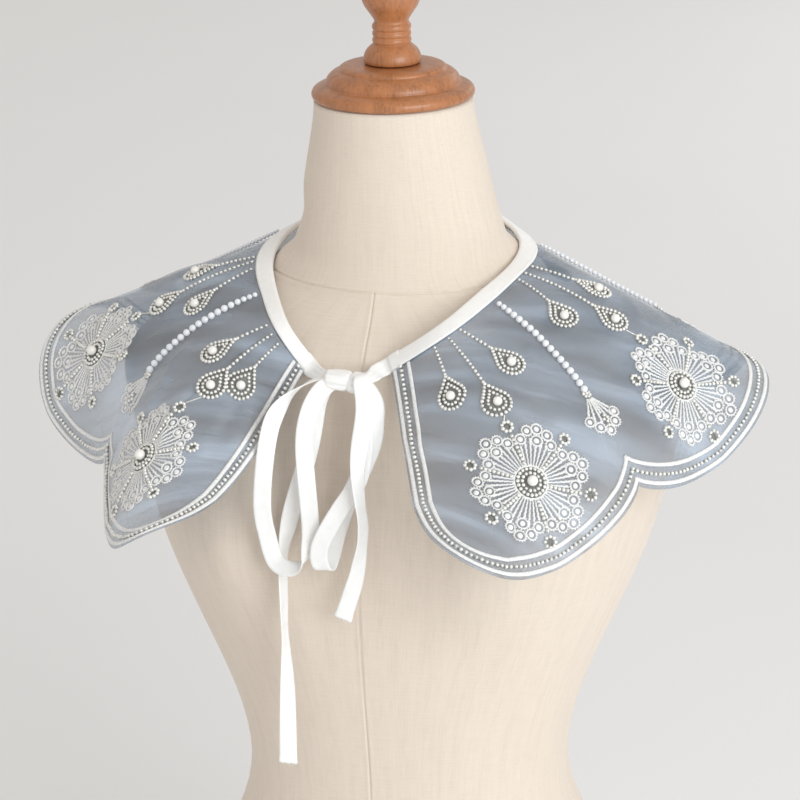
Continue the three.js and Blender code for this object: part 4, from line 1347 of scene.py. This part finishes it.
# Round the form from its front, over its middle, and the tilt of the frame.
AZIMUTH, ELEVATION, ROLL = math.radians(16.89), math.radians(18.3), math.radians(-1.45)
FLOOR_HALF = 12000  # wide enough to be the whole background from above the horizon
FLOOR_DROP = -0.4  # just under the form
FORM_MIDDLE = (0, -40, 480)
# Place, target, size, power in watts and colour of each lamp, and the daylight's colour and
# strength.
LAMPS = {
    "window": ((1650, -1400, 1250), FORM_MIDDLE, 1500, 33, (0.93, 0.98, 1.0)),
    "fill": ((-1900, -1300, 900), FORM_MIDDLE, 1600, 2, (0.95, 0.98, 1.0)),
    "floor_light": ((1300, 3300, 1500), (1200, 3300, 0), 2000, 13.5, (0.9, 0.96, 1.0)),
}
DAYLIGHT = ((1.0, 0.955, 0.91), 0.66)


def make_camera():
    data = bpy.data.cameras.new("view")
    data.lens = CAMERA["lens"]
    data.sensor_width = CAMERA["sensor"]
    data.clip_end = CAMERA["reach"]
    level = math.cos(ELEVATION)
    back = Vector((math.sin(AZIMUTH) * level, -math.cos(AZIMUTH) * level, math.sin(ELEVATION)))
    place = (Vector(CAMERA["target"]) + back * CAMERA["distance"]) * MM
    turn = (-back).to_track_quat("-Z", "Y").to_matrix().to_4x4()
    camera = placed("view", data)
    camera.matrix_world = Matrix.Translation(place) @ turn @ Matrix.Rotation(ROLL, 4, "Z")
    bpy.context.scene.camera = camera


def make_lamp(name, place, target, size, power, colour):
    data = bpy.data.lights.new(name, "AREA")
    data.shape = "SQUARE"
    data.size = size * MM
    data.energy = power
    data.color = colour
    lamp = placed(name, data)
    lamp.location = Vector(place) * MM
    lamp.visible_camera = False
    lamp.rotation_mode = "QUATERNION"
    lamp.rotation_quaternion = (Vector(target) - Vector(place)).to_track_quat("-Z", "Y")


def make_floor():
    sides = ((-1, -1), (1, -1), (1, 1), (-1, 1))
    corners = [(x * FLOOR_HALF, y * FLOOR_HALF, FLOOR_DROP) for x, y in sides]
    mesh = bpy.data.meshes.new("floor")
    mesh.from_pydata(metres(corners).tolist(), [], [(0, 1, 2, 3)])
    mesh.materials.append(finish_of("floor"))
    placed("floor", mesh)


def make_daylight(colour, strength):
    world = bpy.data.worlds.new("soft_daylight")
    world.use_nodes = True
    background = world.node_tree.nodes["Background"]
    background.inputs["Color"].default_value = (*colour, 1)
    background.inputs["Strength"].default_value = strength
    bpy.context.scene.world = world
    bpy.context.scene.view_settings.view_transform = "Standard"


# ---------- Settings ----------
def colour_property(name, text, default):
    return bpy.props.FloatVectorProperty(
        name=name, description=text, default=default, subtype="COLOR", min=0, max=1
    )


def length_property(name, text, size):
    return bpy.props.FloatProperty(
        name=name, description=text, default=size * MM, min=0, unit="LENGTH", precision=4
    )


class CollarSizes(bpy.types.PropertyGroup):
    """Sizes of the trimmings that a maker would change."""

    bead: length_property("Seed bead", "Width of a silver seed bead", 2.3)
    pearl: length_property("Line pearl", "Width of a pearl in the lines between lobes", 4.4)
    drop_pearl: length_property("Drop pearl", "Width of the pearl in each drop", 5.7)
    flower_pearl: length_property("Flower pearl", "Width of the pearl in each flower", 6.4)
    ribbon: length_property("Ribbon", "Width of the bow's folded ribbon", 10.8)
    layer_gap: length_property("Layer gap", "Gap between the two organza layers", 1.0)
    rosette_reach: length_property("Rosette reach", "Flower's middle to a rosette's middle", 36.3)


class CollarColours(bpy.types.PropertyGroup):
    """Colours of the cloths, beads, wood and floor."""

    organza: colour_property("Organza", "Colour of the sheer cloth", (0.31, 0.388, 0.49))
    organza_cover: bpy.props.FloatProperty(
        name="Organza cover",
        description="Share of light that one layer stops",
        default=0.4,
        min=0,
        max=1,
        subtype="FACTOR",
    )
    thread: colour_property("Thread", "Colour of the embroidery", (0.9, 0.9, 0.895))
    # A dark grey that is partly the thread's own colour and partly painted shade between and under
    # the beads.
    couching: colour_property("Couching", "Colour of the beads' thread", (0.24, 0.245, 0.24))
    silver: colour_property("Silver beads", "Colour of the seed beads", (0.86, 0.86, 0.82))
    pearl: colour_property("Pearls", "Colour of the larger pearls", (0.93, 0.91, 0.87))
    line_pearl: colour_property("Line pearls", "Colour of the lines' pearls", (0.86, 0.885, 0.925))
    ribbon: colour_property("Ribbon", "Colour of the bow and neckband", (0.95, 0.95, 0.94))
    linen: colour_property("Linen", "Colour of the dress form's cover", (0.735, 0.64, 0.545))
    wood: colour_property("Wood", "Colour of the turned cap", (0.42, 0.165, 0.062))
    floor: colour_property("Floor", "Colour of the floor", (0.94, 0.955, 0.97))


def sizes_of(context):
    """The panel's sizes in millimetres."""
    group = context.scene.collar_sizes
    return SimpleNamespace(**{key: getattr(group, key) / MM for key in group.__annotations__})


# ---------- Operators ----------
class OrganzaPanel(bpy.types.Operator):
    """Make the scalloped panel of two organza layers"""

    bl_idname = "collar.organza_panel"
    bl_label = "Organza panel"

    def execute(self, context):
        make_panel(sizes_of(context))
        return {"FINISHED"}


class ScallopedRim(bpy.types.Operator):
    """Make the rim's two satin cords and the bead row between them"""

    bl_idname = "collar.scalloped_rim"
    bl_label = "Scalloped rim"

    def execute(self, context):
        make_cord("outer")
        make_cord("inner")
        make_bead_row(sizes_of(context), np.random.default_rng(RNG_SEED))
        return {"FINISHED"}


class EmbroideredFlowers(bpy.types.Operator):
    """Make the six flowers and the five fans"""

    bl_idname = "collar.embroidered_flowers"
    bl_label = "Flowers and fans"

    def execute(self, context):
        rng = np.random.default_rng(RNG_SEED + 1)
        for number in range(LOBES):
            make_flower(number, sizes_of(context), rng)
        for number in range(1, LOBES):
            make_fan(number, sizes_of(context), rng)
        return {"FINISHED"}


class BeadedDrops(bpy.types.Operator):
    """Make the beaded drops on their strings and the pearl lines"""

    bl_idname = "collar.beaded_drops"
    bl_label = "Drops and pearl lines"

    def execute(self, context):
        rng = np.random.default_rng(RNG_SEED + 2)
        sizes = sizes_of(context)
        for lobe, drops in enumerate(LOBE_DROPS):
            for row in drops:
                make_drop(lobe, dict(zip(DROP_COLUMNS, row)), sizes, rng)
        for number in range(1, LOBES):
            make_pearl_line(number, sizes)
        return {"FINISHED"}


class Neckband(bpy.types.Operator):
    """Make the ribbon folded over the neck edge and its stitches"""

    bl_idname = "collar.neckband"
    bl_label = "Neckband"

    def execute(self, context):
        make_neckband(np.random.default_rng(RNG_SEED + 3))
        return {"FINISHED"}


class RibbonBow(bpy.types.Operator):
    """Make the ties, the knot, the two loops and the two tails"""

    bl_idname = "collar.ribbon_bow"
    bl_label = "Ribbon bow"

    def execute(self, context):
        rng = np.random.default_rng(RNG_SEED + 4)
        ribbon = sizes_of(context).ribbon
        make_knot()
        for name, node, rows, rests_on, style in STRANDS:
            make_strand(name, node, rows, rests_on, ribbon, rng, **style)
        return {"FINISHED"}


class LinenForm(bpy.types.Operator):
    """Make the limbless form with its linen cover and seams"""

    bl_idname = "collar.linen_form"
    bl_label = "Linen form"

    def execute(self, context):
        make_form()
        return {"FINISHED"}


class TurnedWood(bpy.types.Operator):
    """Make the turned neck cap and finial"""

    bl_idname = "collar.turned_wood"
    bl_label = "Cap and finial"

    def execute(self, context):
        make_turned("turned_cap", "neck_cap", CAP_PROFILE)
        make_turned("turned_finial", "neck_finial", FINIAL_PROFILE)
        return {"FINISHED"}


class StudioStage(bpy.types.Operator):
    """Make the camera, the lights and the floor"""

    bl_idname = "collar.studio_stage"
    bl_label = "Stage"

    def execute(self, context):
        make_camera()
        make_floor()
        make_daylight(*DAYLIGHT)
        for name, lamp in LAMPS.items():
            make_lamp(name, *lamp)
        return {"FINISHED"}


class CollarPanel(bpy.types.Panel):
    """Lists the pieces in the 3D view's sidebar"""

    bl_idname = "VIEW3D_PT_false_collar"
    bl_label = "False collar"
    bl_space_type = "VIEW_3D"
    bl_region_type = "UI"
    bl_category = "Collar"

    def draw(self, context):
        layout = self.layout
        for group in (context.scene.collar_sizes, context.scene.collar_colours):
            for key in group.__annotations__:
                layout.prop(group, key)
        for operator in OPERATORS:
            layout.operator(operator.bl_idname)


OPERATORS = (
    StudioStage,
    LinenForm,
    TurnedWood,
    OrganzaPanel,
    ScallopedRim,
    EmbroideredFlowers,
    BeadedDrops,
    Neckband,
    RibbonBow,
)
CLASSES = (CollarSizes, CollarColours, *OPERATORS, CollarPanel)


def register():
    for kind in CLASSES:
        bpy.utils.register_class(kind)
    bpy.types.Scene.collar_sizes = bpy.props.PointerProperty(type=CollarSizes)
    bpy.types.Scene.collar_colours = bpy.props.PointerProperty(type=CollarColours)


def unregister():
    del bpy.types.Scene.collar_colours
    del bpy.types.Scene.collar_sizes
    for kind in reversed(CLASSES):
        bpy.utils.unregister_class(kind)


def main():
    register()
    for operator in OPERATORS:
        group, name = operator.bl_idname.split(".")
        getattr(getattr(bpy.ops, group), name)()


if __name__ == "__main__":
    main()
